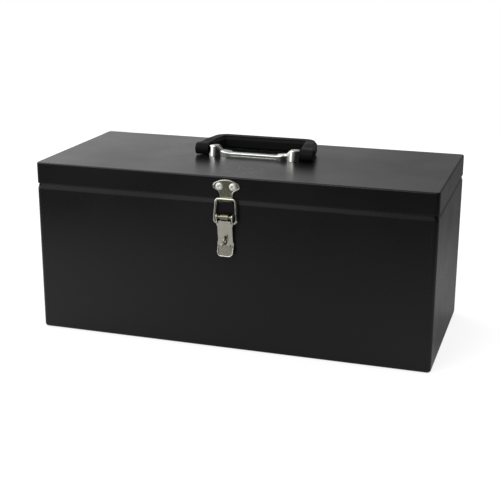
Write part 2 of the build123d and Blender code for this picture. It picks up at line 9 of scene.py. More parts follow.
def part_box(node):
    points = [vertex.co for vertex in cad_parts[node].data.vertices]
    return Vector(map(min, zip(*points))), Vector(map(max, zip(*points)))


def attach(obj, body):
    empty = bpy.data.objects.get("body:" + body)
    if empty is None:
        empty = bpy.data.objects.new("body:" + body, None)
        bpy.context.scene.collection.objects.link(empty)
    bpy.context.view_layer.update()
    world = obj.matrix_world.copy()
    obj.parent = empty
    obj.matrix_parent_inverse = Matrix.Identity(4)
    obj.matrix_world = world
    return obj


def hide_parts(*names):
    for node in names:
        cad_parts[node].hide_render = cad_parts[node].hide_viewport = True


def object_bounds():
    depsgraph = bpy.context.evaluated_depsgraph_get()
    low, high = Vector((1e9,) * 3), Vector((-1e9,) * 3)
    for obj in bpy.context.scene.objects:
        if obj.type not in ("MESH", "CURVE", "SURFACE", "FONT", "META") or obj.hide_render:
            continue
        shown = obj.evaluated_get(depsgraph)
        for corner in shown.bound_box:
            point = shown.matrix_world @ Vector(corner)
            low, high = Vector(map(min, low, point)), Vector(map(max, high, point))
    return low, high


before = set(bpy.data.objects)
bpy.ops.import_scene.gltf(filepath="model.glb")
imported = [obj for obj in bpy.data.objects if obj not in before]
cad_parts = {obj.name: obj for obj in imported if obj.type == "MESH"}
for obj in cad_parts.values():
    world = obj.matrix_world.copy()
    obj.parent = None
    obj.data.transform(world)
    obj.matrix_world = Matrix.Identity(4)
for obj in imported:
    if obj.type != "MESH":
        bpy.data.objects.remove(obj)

bl_info = {
    "name": "Steel tool box",
    "version": (1, 0, 0),
    "blender": (4, 5, 0),
    "location": "3D View > Sidebar > Tool box",
    "description": "Dresses a steel tool box: coated sheet, plated latch, bright strap and moulded handle",
    "category": "Object",
}

CAD_LOW, CAD_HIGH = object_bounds()
MM = 0.001
SAME_PLACE = 0.001 * MM
SMOOTH_ANGLE = math.radians(50.0)
FRONTWARD = Vector((0.0, -1.0, 0.0))
FRONT_TURN = (math.pi / 2, 0.0, 0.0)
REAR_TURN = (-math.pi / 2, 0.0, 0.0)
WHITE = (1.0, 1.0, 1.0, 1.0)

END_NODES = ("left_end_panel", "right_end_panel")
SHEET_NODES = ("body_wrap", *END_NODES, "lid_pan", "hinge_body_leaf", "hinge_lid_leaf")
FIXING_NODES = ("strap_weld_nuts", "strap_screws", "handle_backing_plate", "hinge_pin")
HANDLE_PIN_NODES = ("left_pivot_pin", "right_pivot_pin")

# Places of the rims, beads, ribs, seams and welds on the CAD pieces
KEEPER_THICKNESS = 1.4 * MM
TAB_RIM_SHARE = 0.8
STRAP_BEAD_UP = 2.0 * MM
BEND_RIB_SINK = 0.35
BARREL_RIBS = range(-2, 3)
BARREL_RIB_LEAN = math.radians(25.0)
BARREL_RIB_REACH = 0.82
SEAM_SINK = 0.2 * MM
SEAM_ABOVE_FOOT = 6.0 * MM
SEAM_BELOW_LID = 11.0 * MM
WELD_ABOVE_FOOT = 24.0 * MM
WELD_BELOW_LID = 32.0 * MM
WELD_BELOW_LEAF_TOP = 6.0 * MM

# Sides of the round forms
PIN_HOLE_SIDES = 40
HEAD_SIDES = 40
TAIL_SIDES = 28
SPOT_SIDES = 24
FLOOR_SIDES = 96

# Profiles of turned forms, along their outline: (share of the radius, share of the height)
RIVET_HEAD = (
    (0.0, 0.62), (0.10, 0.60), (0.12, 0.34), (0.20, 0.28), (0.26, 0.34), (0.29, 0.92), (0.33, 1.0),
    (0.46, 0.99), (0.60, 0.94), (0.75, 0.83), (0.87, 0.63), (0.95, 0.40), (1.0, 0.20), (1.0, 0.04),
    (0.99, 0.0), (0.0, 0.0),
)
RIVET_TAIL = (
    (0.0, 0.0), (0.99, 0.0), (1.0, 0.06), (1.0, 0.4), (0.95, 0.62), (0.84, 0.84), (0.72, 0.96), (0.56, 1.0),
    (0.44, 0.98), (0.40, 0.90), (0.0, 0.88),
)
WELD_SPOT = (
    (0.0, 0.30), (0.35, 0.32), (0.55, 0.45), (0.68, 0.80), (0.78, 1.0), (0.86, 0.86), (0.94, 0.42),
    (1.0, 0.0), (0.0, 0.0),
)

# Right half of the keeper's edge in millimetres: (from the middle, from the top); a bow has a middle point
KEEPER_CROWN = ((0.0, 0.0), (6.8, -0.925), (13.6, -3.7))
KEEPER_EAR = ((13.6, -3.7), (17.3, -8.6), (14.0, -12.2))
KEEPER_NECK = ((14.0, -12.2), (9.6, -14.8), (8.2, -17.6), (8.2, -20.0))

# Patterns of the finishes, in waves per metre, and a grain's along X, Y and Z
COAT_SPECKS = 1400.0
COAT_CLOUDS = 11.0
COAT_DUST = 900.0
PLATE_CLOUDS = 120.0
PLATE_PITS = 700.0
CUT_GRAIN = 900.0
PLASTIC_CLOUDS = 45.0
UPRIGHT_GRAIN = (2600.0, 2600.0, 150.0)
STRAP_GRAIN = (70.0, 1900.0, 1900.0)
RIVET_GRAIN = (900.0, 900.0, 900.0)
FIXING_GRAIN = (500.0, 500.0, 500.0)

# Detail and roughness of a fine noise
FINE_NOISE = (3.0, 0.6)

# Least and most roughness of the bright metals
PLATE_ROUGHNESS = (0.20, 0.34)
BASE_ROUGHNESS = (0.30, 0.42)
WIRE_ROUGHNESS = (0.16, 0.26)
RIVET_ROUGHNESS = (0.58, 0.72)
STRAP_ROUGHNESS = (0.09, 0.18)
FIXING_ROUGHNESS = (0.28, 0.42)

# Depth of the patterns, and the rounding of the plated edges
PLATE_DEPTH = 0.02 * MM
PLASTIC_DEPTH = 0.03 * MM
PLATE_EDGE = 0.6 * MM
EDGE_SAMPLES = 6

# Places of the colour sockets among those of a Mix node
MIX_FIRST = 6
MIX_SECOND = 7
MIX_RESULT = 2

# Stretches of the floor, in metres along X or Y, over which its own light in reflections changes
FLOOR_LEFT = (-0.5, 0.0)
FLOOR_NEAR = (-0.5, -0.15)
FLOOR_AHEAD = (-0.14, 0.0)
FLOOR_RIGHT = (0.1, 0.26)
FLOOR_BESIDE = (0.1, 0.45)
FLOOR_BEYOND = (0.2, 0.6)
FLOOR_DROP = 0.4 * MM
FLOOR_ROUGHNESS = 0.9

# Stretches of the room, as parts of a direction along X, Y or Z, over which its light in reflections changes
ROOM_ACROSS = (-0.48, -0.13)
ROOM_DEPTH = (-0.2, 0.4)
ROOM_HORIZON = (-0.12, 0.10)
ROOM_HIGH = (0.50, 0.75)
ROOM_FRONT_RIGHT = (0.0, 0.45)
ROOM_CORNER = (-0.68, -0.42)
ROOM_CORNER_HORIZON = (-0.15, 0.0)

# Lamps: (name, place, width), and the camera's fixed values
KEY_LAMP = ("key_lamp", (-1.3, 0.8, 1.9), 1.5)
FILL_LAMP = ("fill_lamp", (-0.7, -1.7, 1.7), 1.2)
SENSOR_WIDTH = 36.0
CLIP_START = 0.01
CLIP_END = 100.0


# Kinds of settings


def colour_setting(name, description, default):
    """A colour that a user may change."""
    return bpy.props.FloatVectorProperty(
        name=name, description=description, default=default, subtype="COLOR", size=3, min=0.0, max=1.0)


def share_setting(name, description, default):
    """A share from 0 to 1 that a user may change."""
    return bpy.props.FloatProperty(
        name=name, description=description, default=default, subtype="FACTOR", min=0.0, max=1.0)


def level_setting(name, description, default, unit="NONE"):
    """A brightness or a power that a user may change."""
    return bpy.props.FloatProperty(name=name, description=description, default=default, unit=unit, min=0.0)


def length_setting(name, description, millimetres, least=0.01):
    """A length that a user may change, given in millimetres."""
    return bpy.props.FloatProperty(
        name=name, description=description, default=millimetres * MM, unit="LENGTH", min=least * MM,
        precision=5)


def angle_setting(name, description, degrees):
    """An angle that a user may change, given in degrees."""
    return bpy.props.FloatProperty(
        name=name, description=description, default=math.radians(degrees), subtype="ANGLE")


class SheetFinish(bpy.types.PropertyGroup):
    """Black coat of the sheet metal."""

    coat_colour: colour_setting("Coat colour", "Colour of the coat", (0.0045, 0.0045, 0.0048))
    coat_light: colour_setting(
        "Coat light specks", "Lighter colour that the coat varies to", (0.0075, 0.0075, 0.008))
    gloss_low: share_setting("Least roughness", "Roughness where the coat flowed out best", 0.25)
    gloss_high: share_setting("Most roughness", "Roughness where the coat is driest", 0.33)
    shine: share_setting("Shine", "Specular level of the coat", 0.30)
    # Painted shade: the next three set the lower specular level of the darkened folds, gap and foot, its
    # width along an edge, and how far it reaches down under the lid at the ends
    shade_shine: share_setting("Edge shine", "Specular level where the coat is thin", 0.05)
    edge_width: length_setting("Edge width", "Width of the thin coat along an edge", 1.3)
    shade_gap_drop: length_setting(
        "Gap depth", "How far the thin coat reaches down under the lid at the ends", 4.2)
    peel_size: length_setting("Orange peel size", "Width of a wave of the coat's surface", 2.2)
    peel_depth: length_setting("Orange peel depth", "Height of a wave of the coat's surface", 0.012)


class MetalFinish(bpy.types.PropertyGroup):
    """Bright metals of the latch, the rivets and the strap."""

    plate_colour: colour_setting("Plating colour", "Colour of the zinc plate", (0.56, 0.545, 0.48))
    plate_tint: colour_setting("Plating tint", "Yellow-green that the plate varies to", (0.50, 0.485, 0.40))
    keeper_colour: colour_setting(
        "Keeper colour", "Darker olive of the keeper's plating", (0.43, 0.42, 0.31))
    # Painted shade: the latch base and the lever pin, behind the lever, take this darker plating, and so do
    # the padlock eye's edges
    shaded_base_colour: colour_setting(
        "Latch base colour", "Duller plating of the latch base behind the lever", (0.26, 0.25, 0.185))
    # The bail's own brighter plating; on the keeper's and the tab's pressed rims this brighter colour is a
    # painted highlight
    wire_and_rim_highlight_colour: colour_setting(
        "Wire colour", "Brighter plating of the bail and of the pressed rims", (0.68, 0.68, 0.61))
    # Painted shade: the keeper's hook below the bail's crossbar keeps only this share of its plating's
    # brightness
    hook_shade_share: share_setting(
        "Hook dulling", "Share of the plating's brightness that the keeper's hook keeps", 0.2)
    # Painted shade: the finger tab below its bend keeps only this share of the plating's brightness
    tab_shade_share: share_setting(
        "Tab dulling", "Share of the plating's brightness that the finger tab keeps", 0.66)
    rivet_colour: colour_setting("Rivet colour", "Colour of the rivets", (0.92, 0.92, 0.89))
    # Painted shade: the padlock eye's faces square to X take this near-black colour, for the shade beside
    # its slot
    eye_shade_colour: colour_setting(
        "Padlock eye colour", "Colour of the plain steel of the padlock eye", (0.05, 0.04, 0.03))
    chrome_colour: colour_setting("Strap colour", "Colour of the bright strap", (0.66, 0.68, 0.64))


class HandleFinish(bpy.types.PropertyGroup):
    """Moulded black handle."""

    plastic_colour: colour_setting("Plastic colour", "Colour of the moulding", (0.0075, 0.0075, 0.0078))
    plastic_light: colour_setting(
        "Plastic light specks", "Lighter colour that the moulding varies to", (0.0105, 0.0105, 0.011))
    gloss_low: share_setting("Least roughness", "Roughness of the smoothest moulding", 0.40)
    gloss_high: share_setting("Most roughness", "Roughness of the dullest moulding", 0.54)
    shine: share_setting("Shine", "Specular level of the moulding", 0.05)
    grain_size: length_setting("Grain size", "Width of a grain of the mould's texture", 0.55)


class RepeatSizes(bpy.types.PropertyGroup):
    """Sizes of the rivets and the weld spots."""

    keeper_head_radius: length_setting("Keeper rivet head", "Radius of the keeper's rivet heads", 4.8)
    base_head_radius: length_setting("Base rivet head", "Radius of the latch base's rivet heads", 3.8)
    head_height: length_setting("Rivet head height", "Height of a rivet head", 1.9)
    tail_radius: length_setting("Rivet tail radius", "Radius of the upset tail inside", 3.0)
    tail_length: length_setting("Rivet tail length", "Length of the upset tail inside", 3.6)
    grip: length_setting("Rivet grip", "Metal between a rivet's head and tail", 2.4)
    weld_radius: length_setting("Weld spot radius", "Radius of a spot weld's mark", 3.0)
    weld_rise: length_setting("Weld spot rise", "Height of a spot weld's rim", 0.16)
    weld_pitch: length_setting("Weld pitch", "Distance from one spot weld to the next", 44.0)


class BeadSizes(bpy.types.PropertyGroup):
    """Sizes of the rims, beads and ribs, and of the lever's waist."""

    rim_radius: length_setting("Rim radius", "Radius of the raised rims of the latch", 0.68)
    tab_height: length_setting("Tab height", "Height of the lever's finger tab below its bend", 13.0)
    tab_bend_out: length_setting("Tab start", "Distance of the tab's bend from the front", 3.4)
    tab_tip_out: length_setting("Tab end", "Distance of the tab's end from the front", 7.4)
    tab_corner: length_setting("Tab corner", "Radius of the tab's corners", 6.0)
    wire_width: length_setting("Bail wire", "Thickness of the bail's wire", 3.0)
    waist_low: length_setting(
        "Lever waist start", "Height above the tab's end where the lever's sides draw in", 17.0)
    waist_high: length_setting(
        "Lever waist end", "Height above the tab's end where the lever is full width again", 40.3)
    waist_blend: length_setting("Lever waist blend", "Height over which the lever's sides draw in", 2.4)
    waist_draw: length_setting("Lever waist depth", "How far each side of the lever draws in", 1.0)
    waist_core: length_setting("Lever core", "Half width of the lever's middle, which keeps its shape", 5.0)
    strap_bead: length_setting("Strap bead radius", "Radius of the bead along the strap's walls", 0.35)
    seam_radius: length_setting("Seam radius", "Radius of the raised line along the front seams", 0.5)
    rib_radius: length_setting("Rib radius", "Radius of the ribs on the barrels' ends", 0.4)
    rib_pitch: length_setting("Rib pitch", "Distance from one rib to the next", 2.3)
    barrel_radius: length_setting("Barrel radius", "Radius of the handle's barrels", 7.7)


class StrapSizes(bpy.types.PropertyGroup):
    """Sizes of the handle's pressed strap."""

    width: length_setting("Strap width", "Width of the strip", 12.6)
    thickness: length_setting("Strap thickness", "Thickness of the strip", 1.8)
    edge: length_setting("Strap edge", "Radius of the strip's upper edges", 1.5)
    bend: length_setting("Strap bend", "Radius of the bends", 3.2)
    middle_up: length_setting("Middle height", "Height of the middle above the lid", 6.2)
    rise_start: length_setting("Rise start", "Where the middle starts to rise, from the centre", 31.0)
    slope_foot: length_setting("Slope foot", "Where the steep slope starts, from the centre", 44.0)
    slope_up: length_setting("Slope foot height", "Height of the strap where the steep slope starts", 7.6)
    arch_start: length_setting("Arch start", "Where the slope reaches the top of the arch", 50.0)
    wall: length_setting("Wall thickness", "Thickness of the walls", 1.2)
    wall_flare: length_setting("Wall flare", "How far a wall's foot stands out", -0.5, least=-5.0)
    waist_start: length_setting("Waist start", "Where the strap starts to draw in, from the centre", 36.0)
    waist: length_setting("Waist", "Where the strap is narrowest, from the centre", 45.5)
    waist_draw: length_setting("Waist depth", "How far each edge is drawn in at a waist", 1.7)
    foot_bulge: length_setting("Foot bulge", "How far each edge stands out at an arch", 0.6)
    pin_hole: length_setting("Pin hole", "Radius of the holes for the handle's pins", 2.6)
    foot_flare: length_setting("Foot flare", "How far a wall's foot stands out at an arch", 2.6)
    rib_radius: length_setting("Bend rib radius", "Radius of the ribs pressed into the bends", 1.1)
    rib_out: length_setting("Bend rib place", "Distance of a bend rib from the strap's middle line", 3.3)


class StageSettings(bpy.types.PropertyGroup):
    """Floor, light and camera."""

    floor_colour: colour_setting("Floor colour", "Colour of the pale floor", (0.42, 0.42, 0.42))
    floor_radius: length_setting("Floor radius", "Radius of the round floor", 1050.0)
    floor_shift: length_setting("Floor shift", "Distance of the floor's middle behind the box", 400.0)
    floor_lift: share_setting("Floor lift", "Light of its own that the floor shows to the camera", 0.76)
    floor_glow: share_setting(
        "Floor glow", "Light of its own that the floor's left shows in reflections", 0.46)
    near_glow: share_setting(
        "Near glow", "Light of its own that the floor near the box shows in reflections", 0.26)
    side_glow: share_setting(
        "Side glow", "Light of its own that the floor right of the box shows in reflections", 0.06)
    side_dim: share_setting(
        "Side dimming", "How much darker the floor at the back right shows in reflections", 0.52)
    key_power: level_setting("Key power", "Power of the large lamp behind at the left", 10.0, "POWER")
    fill_power: level_setting("Fill power", "Power of the lamp in front", 15.0, "POWER")
    room_light: level_setting("Room light", "Light of the surroundings on diffuse surfaces", 0.70)
    room_left: level_setting(
        "Room at the left", "Brightness of the surroundings at the left in reflections", 0.92)
    room_right: level_setting(
        "Room at the right", "Brightness of the surroundings at the right in reflections", 0.38)
    front_band: level_setting(
        "Room ahead", "Share of that brightness just above the horizon in front", 0.55)
    front_high: level_setting("Room ahead, high", "Share of that brightness high up in front", 0.95)
    front_left: level_setting(
        "Room at the front left", "Share of that brightness far at the left in front", 2.2)
    front_right: level_setting(
        "Room at the front right", "Share of that brightness far at the right in front", 0.10)
    low_front: share_setting(
        "Room below in front", "Share of that brightness below the horizon in front", 0.14)
    low_back: share_setting("Room below behind", "Share of that brightness below the horizon behind", 0.60)
    lens: bpy.props.FloatProperty(
        name="Lens", description="Focal length on a 36 mm sensor, in millimetres", default=77.55, min=10.0)
    camera_azimuth: angle_setting("Camera azimuth", "Turn of the camera to the right of the front", 17.523)
    camera_elevation: angle_setting("Camera elevation", "Angle of the camera above the horizon", 17.100)
    camera_roll: angle_setting("Camera roll", "Turn of the camera about its own axis", 0.236)
    camera_place: bpy.props.FloatVectorProperty(
        name="Camera place", description="Where the camera stands", size=3, subtype="XYZ",
        default=(0.4070, -1.3061, 0.5183), unit="LENGTH")


# Node helpers


def lead(tree, node, inputs):
    """Sets a node's inputs to values, or leads sockets into them."""
    for name, value in inputs.items():
        if isinstance(value, bpy.types.NodeSocket):
            tree.links.new(value, node.inputs[name])
        else:
            node.inputs[name].default_value = value


def added(tree, kind, inputs, **options):
    """A new node with its options and inputs."""
    node = tree.nodes.new(kind)
    for name, value in options.items():
        setattr(node, name, value)
    lead(tree, node, inputs)
    return node


def new_finish(name):
    """An empty finish: its material, tree, shader and the place on the piece in its own frame."""
    material = bpy.data.materials.new(name)
    material.use_nodes = True
    tree = material.node_tree
    shader = tree.nodes["Principled BSDF"]
    place = tree.nodes.new("ShaderNodeTexCoord").outputs["Object"]
    return material, tree, shader, place


def stretched(tree, place, scale):
    """The place with each axis scaled, so that a pattern runs along one of them."""
    return added(tree, "ShaderNodeMapping", {"Vector": place, "Scale": scale}).outputs["Vector"]


def noise(tree, place, scale, detail=2.0, roughness=0.5):
    """A noise value over the piece."""
    inputs = {"Vector": place, "Scale": scale, "Detail": detail, "Roughness": roughness}
    return added(tree, "ShaderNodeTexNoise", inputs).outputs["Fac"]


def spread(tree, value, low, high, start=0.3, end=0.7):
    """A value mapped from the stretch between start and end to the range from low to high."""
    inputs = {"Value": value, "From Min": start, "From Max": end, "To Min": low, "To Max": high}
    return added(tree, "ShaderNodeMapRange", inputs).outputs["Result"]


def two_colours(tree, factor, first, second):
    """A colour between two, by a factor."""
    inputs = {"Factor": factor, MIX_FIRST: (*first, 1.0), MIX_SECOND: (*second, 1.0)}
    return added(tree, "ShaderNodeMix", inputs, data_type="RGBA").outputs[MIX_RESULT]


def toned(colour, share):
    """A colour at a share of its brightness."""
    return [share * part for part in colour]


def arithmetic(tree, operation, first, *others):
    """One sum over values, each a socket or a number, taken two at a time."""
    if not others:
        return added(tree, "ShaderNodeMath", {0: first}, operation=operation).outputs["Value"]
    for other in others:
        first = added(tree, "ShaderNodeMath", {0: first, 1: other}, operation=operation).outputs["Value"]
    return first


def mixed(tree, factor, first, second):
    """A value between two, by a factor."""
    rest = arithmetic(tree, "SUBTRACT", 1.0, factor)
    return arithmetic(tree, "ADD", arithmetic(tree, "MULTIPLY", rest, first),
                      arithmetic(tree, "MULTIPLY", factor, second))


def axes(tree, vector):
    """The X, Y and Z of a vector."""
    parts = added(tree, "ShaderNodeSeparateXYZ", {0: vector})
    return [parts.outputs[axis] for axis in "XYZ"]


def blended(tree, first, second, share):
    """Two values added, the second with a share."""
    inputs = {0: second, 1: share, 2: first}
    return added(tree, "ShaderNodeMath", inputs, operation="MULTIPLY_ADD").outputs["Value"]


def bumped(tree, height, depth, strength=1.0, edge=0.0):
    """The normal of a surface with a height, over edges rounded by a radius."""
    inputs = {"Height": height, "Distance": depth, "Strength": strength}
    if edge:
        rounding = added(tree, "ShaderNodeBevel", {"Radius": edge}, samples=EDGE_SAMPLES)
        inputs["Normal"] = rounding.outputs["Normal"]
    return added(tree, "ShaderNodeBump", inputs).outputs["Normal"]


# Finishes


def coat_finish(settings):
    """Black powder coat: a faint orange peel, uneven gloss, fine specks, and painted shade at the lid's end
    folds, under the lid and along the foot.
    """
    material, tree, shader, place = new_finish("black_powder_coat")
    specks = spread(tree, noise(tree, place, COAT_SPECKS, *FINE_NOISE), 0.0, 1.0, start=0.42, end=0.72)
    clouds = noise(tree, place, COAT_CLOUDS, detail=3.0)
    dusted = blended(tree, clouds, noise(tree, place, COAT_DUST), share=0.25)
    peel = noise(tree, place, 1.0 / settings.peel_size)
    ripple = noise(tree, place, 3.5 / settings.peel_size)
    # Painted shade: the coat's specular level drops at the lid's end folds, in the gap under the lid at the
    # ends and along the foot
    thin = painted_shade_edges(tree, place, settings)
    # The plain level stays on the socket, under the link
    shader.inputs["Specular IOR Level"].default_value = settings.shine
    lead(tree, shader, {
        "Base Color": two_colours(tree, specks, settings.coat_colour, settings.coat_light),
        "Roughness": spread(tree, dusted, settings.gloss_low, settings.gloss_high, start=0.42, end=0.82),
        "Normal": bumped(tree, blended(tree, peel, ripple, share=0.3), settings.peel_depth),
        "Specular IOR Level": spread(tree, thin, settings.shine, settings.shade_shine, start=0.0, end=1.0),
    })
    return material


def painted_shade_edges(tree, place, settings):
    """Painted shade, as a lower specular level: the lid's end folds, the gap under the lid at the ends, and
    the foot.
    """
    low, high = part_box("lid_pan")
    width, blur = settings.edge_width, settings.edge_width / 2
    gap = low.z - settings.shade_gap_drop
    across, back, up = axes(tree, place)
    outward = arithmetic(tree, "ABSOLUTE", across)
    beside = spread(tree, outward, 0.0, 1.0, high.x - 2 * width, high.x - width - blur)
    above = spread(tree, up, 0.0, 1.0, high.z - width - blur, high.z - width)
    at_end = spread(tree, outward, 0.0, 1.0, high.x - 5 * width, high.x - 4 * width)
    off_front = spread(tree, back, 0.0, 1.0, low.y + blur, low.y + width)
    below = spread(tree, up, 0.0, 1.0, gap - blur, gap)
    under = spread(tree, up, 1.0, 0.0, low.z + blur, low.z + 2 * blur)
    fold = arithmetic(tree, "MULTIPLY", beside, above)
    side = arithmetic(tree, "MULTIPLY", at_end, off_front, below, under)
    foot = spread(tree, up, 1.0, 0.0, blur, width)
    return arithmetic(tree, "MAXIMUM", fold, side, foot)


def plate_finish(name, colour, tint, grain, roughness):
    """Plated steel: a clouded tint, and fine rolled lines along one axis."""
    material, tree, shader, place = new_finish(name)
    clouds = noise(tree, place, PLATE_CLOUDS, detail=3.0, roughness=0.55)
    tinted = spread(tree, clouds, 0.0, 1.0, start=0.35, end=0.65)
    lines = noise(tree, stretched(tree, place, grain), 1.0, *FINE_NOISE)
    pitted = blended(tree, lines, noise(tree, place, PLATE_PITS), share=0.6)
    lead(tree, shader, {
        "Base Color": two_colours(tree, tinted, colour, tint),
        "Roughness": spread(tree, lines, *roughness),
        "Normal": bumped(tree, pitted, PLATE_DEPTH, strength=0.5, edge=PLATE_EDGE),
        "Metallic": 1.0,
    })
    return material


def paint_shade_below(material, height, share, blur=0.6 * MM):
    """Paints shade onto a finish below a height, down to a share of its colour's brightness."""
    tree = material.node_tree
    shader = tree.nodes["Principled BSDF"]
    colour = shader.inputs["Base Color"].links[0].from_socket
    up = axes(tree, tree.nodes.new("ShaderNodeTexCoord").outputs["Object"])[2]
    kept = spread(tree, up, share, 1.0, height - blur, height + blur)
    scaled = added(tree, "ShaderNodeVectorMath", {0: colour, "Scale": kept}, operation="SCALE")
    lead(tree, shader, {"Base Color": scaled.outputs["Vector"]})


def cut_plate_finish(name, shaded_face_colour, edge_colour, roughness):
    """Sheet steel with painted shade: its faces square to X dark, and its cut edges lighter."""
    material, tree, shader, place = new_finish(name)
    across = axes(tree, tree.nodes.new("ShaderNodeTexCoord").outputs["Normal"])[0]
    # Faces square to X take the dark colour of the painted shade
    faces = spread(tree, arithmetic(tree, "ABSOLUTE", across), 0.0, 1.0, start=0.35, end=0.75)
    grain = noise(tree, place, CUT_GRAIN, *FINE_NOISE)
    lead(tree, shader, {
        "Base Color": two_colours(tree, faces, edge_colour, shaded_face_colour),
        "Roughness": spread(tree, grain, *roughness),
        "Normal": bumped(tree, grain, PLATE_DEPTH, strength=0.5),
        "Metallic": 1.0,
    })
    return material


def plastic_finish(settings):
    """Moulded black plastic with a fine grain."""
    material, tree, shader, place = new_finish("black_plastic")
    grain = noise(tree, place, 1.0 / settings.grain_size, *FINE_NOISE)
    specks = spread(tree, grain, 0.0, 1.0)
    clouds = blended(tree, noise(tree, place, PLASTIC_CLOUDS), grain, share=0.4)
    lead(tree, shader, {
        "Base Color": two_colours(tree, specks, settings.plastic_colour, settings.plastic_light),
        "Roughness": spread(tree, clouds, settings.gloss_low, settings.gloss_high, start=0.5, end=0.9),
        "Normal": bumped(tree, grain, PLASTIC_DEPTH, strength=0.6),
        "Specular IOR Level": settings.shine,
    })
    return material


def dress(nodes, material):
    """Gives the CAD nodes one finish."""
    for name in nodes:
        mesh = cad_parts[name].data
        mesh.materials.clear()
        mesh.materials.append(material)


# What repeats, made by node trees


def profile_curve(tree, along, values):
    """A curve through evenly spaced values from 0 to 1."""
    node = added(tree, "ShaderNodeFloatCurve", {"Value": along})
    curve = node.mapping.curves[0]
    last = len(values) - 1
    while len(curve.points) < len(values):
        curve.points.new(0.5, 0.5)
    for number, value in enumerate(values):
        curve.points[number].location = (number / last, value)
        curve.points[number].handle_type = "VECTOR"
    node.mapping.update()
    return node.outputs["Value"]


def turned_form(tree, profile, radius, height, sides):
    """A form of revolution about Z: a grid wound round, its profile in two curves."""
    counts = {"Vertices X": sides + 1, "Vertices Y": len(profile)}
    grid = added(tree, "GeometryNodeMeshGrid", {"Size X": 1.0, "Size Y": 1.0, **counts})
    across, upward, _ = axes(tree, tree.nodes.new("GeometryNodeInputPosition").outputs["Position"])
    turn = arithmetic(tree, "MULTIPLY", across, math.tau)
    along = arithmetic(tree, "ADD", upward, 0.5)
    reaches, rises = zip(*profile)
    reach = arithmetic(tree, "MULTIPLY", profile_curve(tree, along, reaches), radius)
    place = added(tree, "ShaderNodeCombineXYZ", {
        "X": arithmetic(tree, "MULTIPLY", reach, arithmetic(tree, "COSINE", turn)),
        "Y": arithmetic(tree, "MULTIPLY", reach, arithmetic(tree, "SINE", turn)),
        "Z": arithmetic(tree, "MULTIPLY", profile_curve(tree, along, rises), height),
    })
    wound = {"Geometry": grid.outputs["Mesh"], "Position": place.outputs["Vector"]}
    moved = added(tree, "GeometryNodeSetPosition", wound).outputs["Geometry"]
    merged = {"Geometry": moved, "Distance": 2 * SAME_PLACE}
    return added(tree, "GeometryNodeMergeByDistance", merged).outputs["Geometry"]


def new_tree(name, lengths):
    """A node tree that sets a form of named lengths on places, and its start."""
    tree = bpy.data.node_groups.new(name, "GeometryNodeTree")
    sockets = [("Places", "NodeSocketGeometry")] + [(label, "NodeSocketFloat") for label in lengths]
    sockets += [("Facing", "NodeSocketRotation"), ("Finish", "NodeSocketMaterial")]
    for label, kind in sockets:
        tree.interface.new_socket(label, in_out="INPUT", socket_type=kind)
    tree.interface.new_socket("Geometry", in_out="OUTPUT", socket_type="NodeSocketGeometry")
    return tree, tree.nodes.new("NodeGroupInput")


def end_tree(tree, start, form):
    """Sets the form on every place, makes the copies real and gives them the finish."""
    sizes = start.outputs
    copied = {"Points": sizes["Places"], "Instance": form, "Rotation": sizes["Facing"]}
    copies = added(tree, "GeometryNodeInstanceOnPoints", copied).outputs["Instances"]
    real = added(tree, "GeometryNodeRealizeInstances", {"Geometry": copies}).outputs["Geometry"]
    finish = added(tree, "GeometryNodeSetMaterial", {"Geometry": real, "Material": sizes["Finish"]})
    added(tree, "NodeGroupOutput", {"Geometry": finish.outputs["Geometry"]})
    return tree


def rivet_tree():
    """Blind rivets on places: a domed head with its broken mandrel, and the upset tail inside."""
    lengths = ("Head radius", "Head height", "Tail radius", "Tail length", "Grip")
    tree, start = new_tree("blind_rivets", lengths)
    sizes = start.outputs
    head = turned_form(tree, RIVET_HEAD, sizes["Head radius"], sizes["Head height"], HEAD_SIDES)
    depth = arithmetic(tree, "MULTIPLY", sizes["Tail length"], -1.0)
    tail = turned_form(tree, RIVET_TAIL, sizes["Tail radius"], depth, TAIL_SIDES)
    drop = added(tree, "ShaderNodeCombineXYZ", {"Z": arithmetic(tree, "MULTIPLY", sizes["Grip"], -1.0)})
    lowered = added(tree, "GeometryNodeTransform", {"Geometry": tail, "Translation": drop.outputs["Vector"]})
    both = tree.nodes.new("GeometryNodeJoinGeometry")
    for part in (lowered.outputs["Geometry"], head):
        tree.links.new(part, both.inputs["Geometry"])
    return end_tree(tree, start, both.outputs["Geometry"])


def weld_tree():
    """Spot weld marks on places: a low ring pressed up round a shallow cup."""
    tree, start = new_tree("spot_welds", ("Radius", "Rise"))
    spot = turned_form(tree, WELD_SPOT, start.outputs["Radius"], start.outputs["Rise"], SPOT_SIDES)
    return end_tree(tree, start, spot)


def placed(name, data):
    """An object with the data, in the scene at the origin."""
    thing = bpy.data.objects.new(name, data)
    bpy.context.scene.collection.objects.link(thing)
    return thing


def mesh_of(name, form):
    """A mesh of a built form, which is used up."""
    mesh = bpy.data.meshes.new(name)
    form.to_mesh(mesh)
    form.free()
    return mesh


def smoothed(mesh):
    """Smooths a mesh, with its edges kept sharp."""
    mesh.shade_smooth()
    mesh.set_sharp_from_angle(angle=SMOOTH_ANGLE)


def attached(piece, body):
    """Lets a piece ride on a body."""
    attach(piece, body)


def evenly(start, end, pitch):
    """Evenly spaced values from the start to the end, about a pitch apart."""
    count = int((end - start) / pitch)
    return [start + number * (end - start) / count for number in range(count + 1)]


def repeated(name, places, tree, facing, finish, sizes):
    """A plain mesh of what a tree sets on the places, at the origin."""
    mesh = bpy.data.meshes.new(name)
    mesh.from_pydata(places, [], [])
    piece = placed(name, mesh)
    modifier = piece.modifiers.new("repeat", "NODES")
    modifier.node_group = tree
    values = dict(sizes, Facing=facing, Finish=finish)
    for socket in tree.interface.items_tree:
        if socket.in_out == "INPUT" and socket.name in values:
            modifier[socket.identifier] = values[socket.name]
    settle(piece)
    return piece


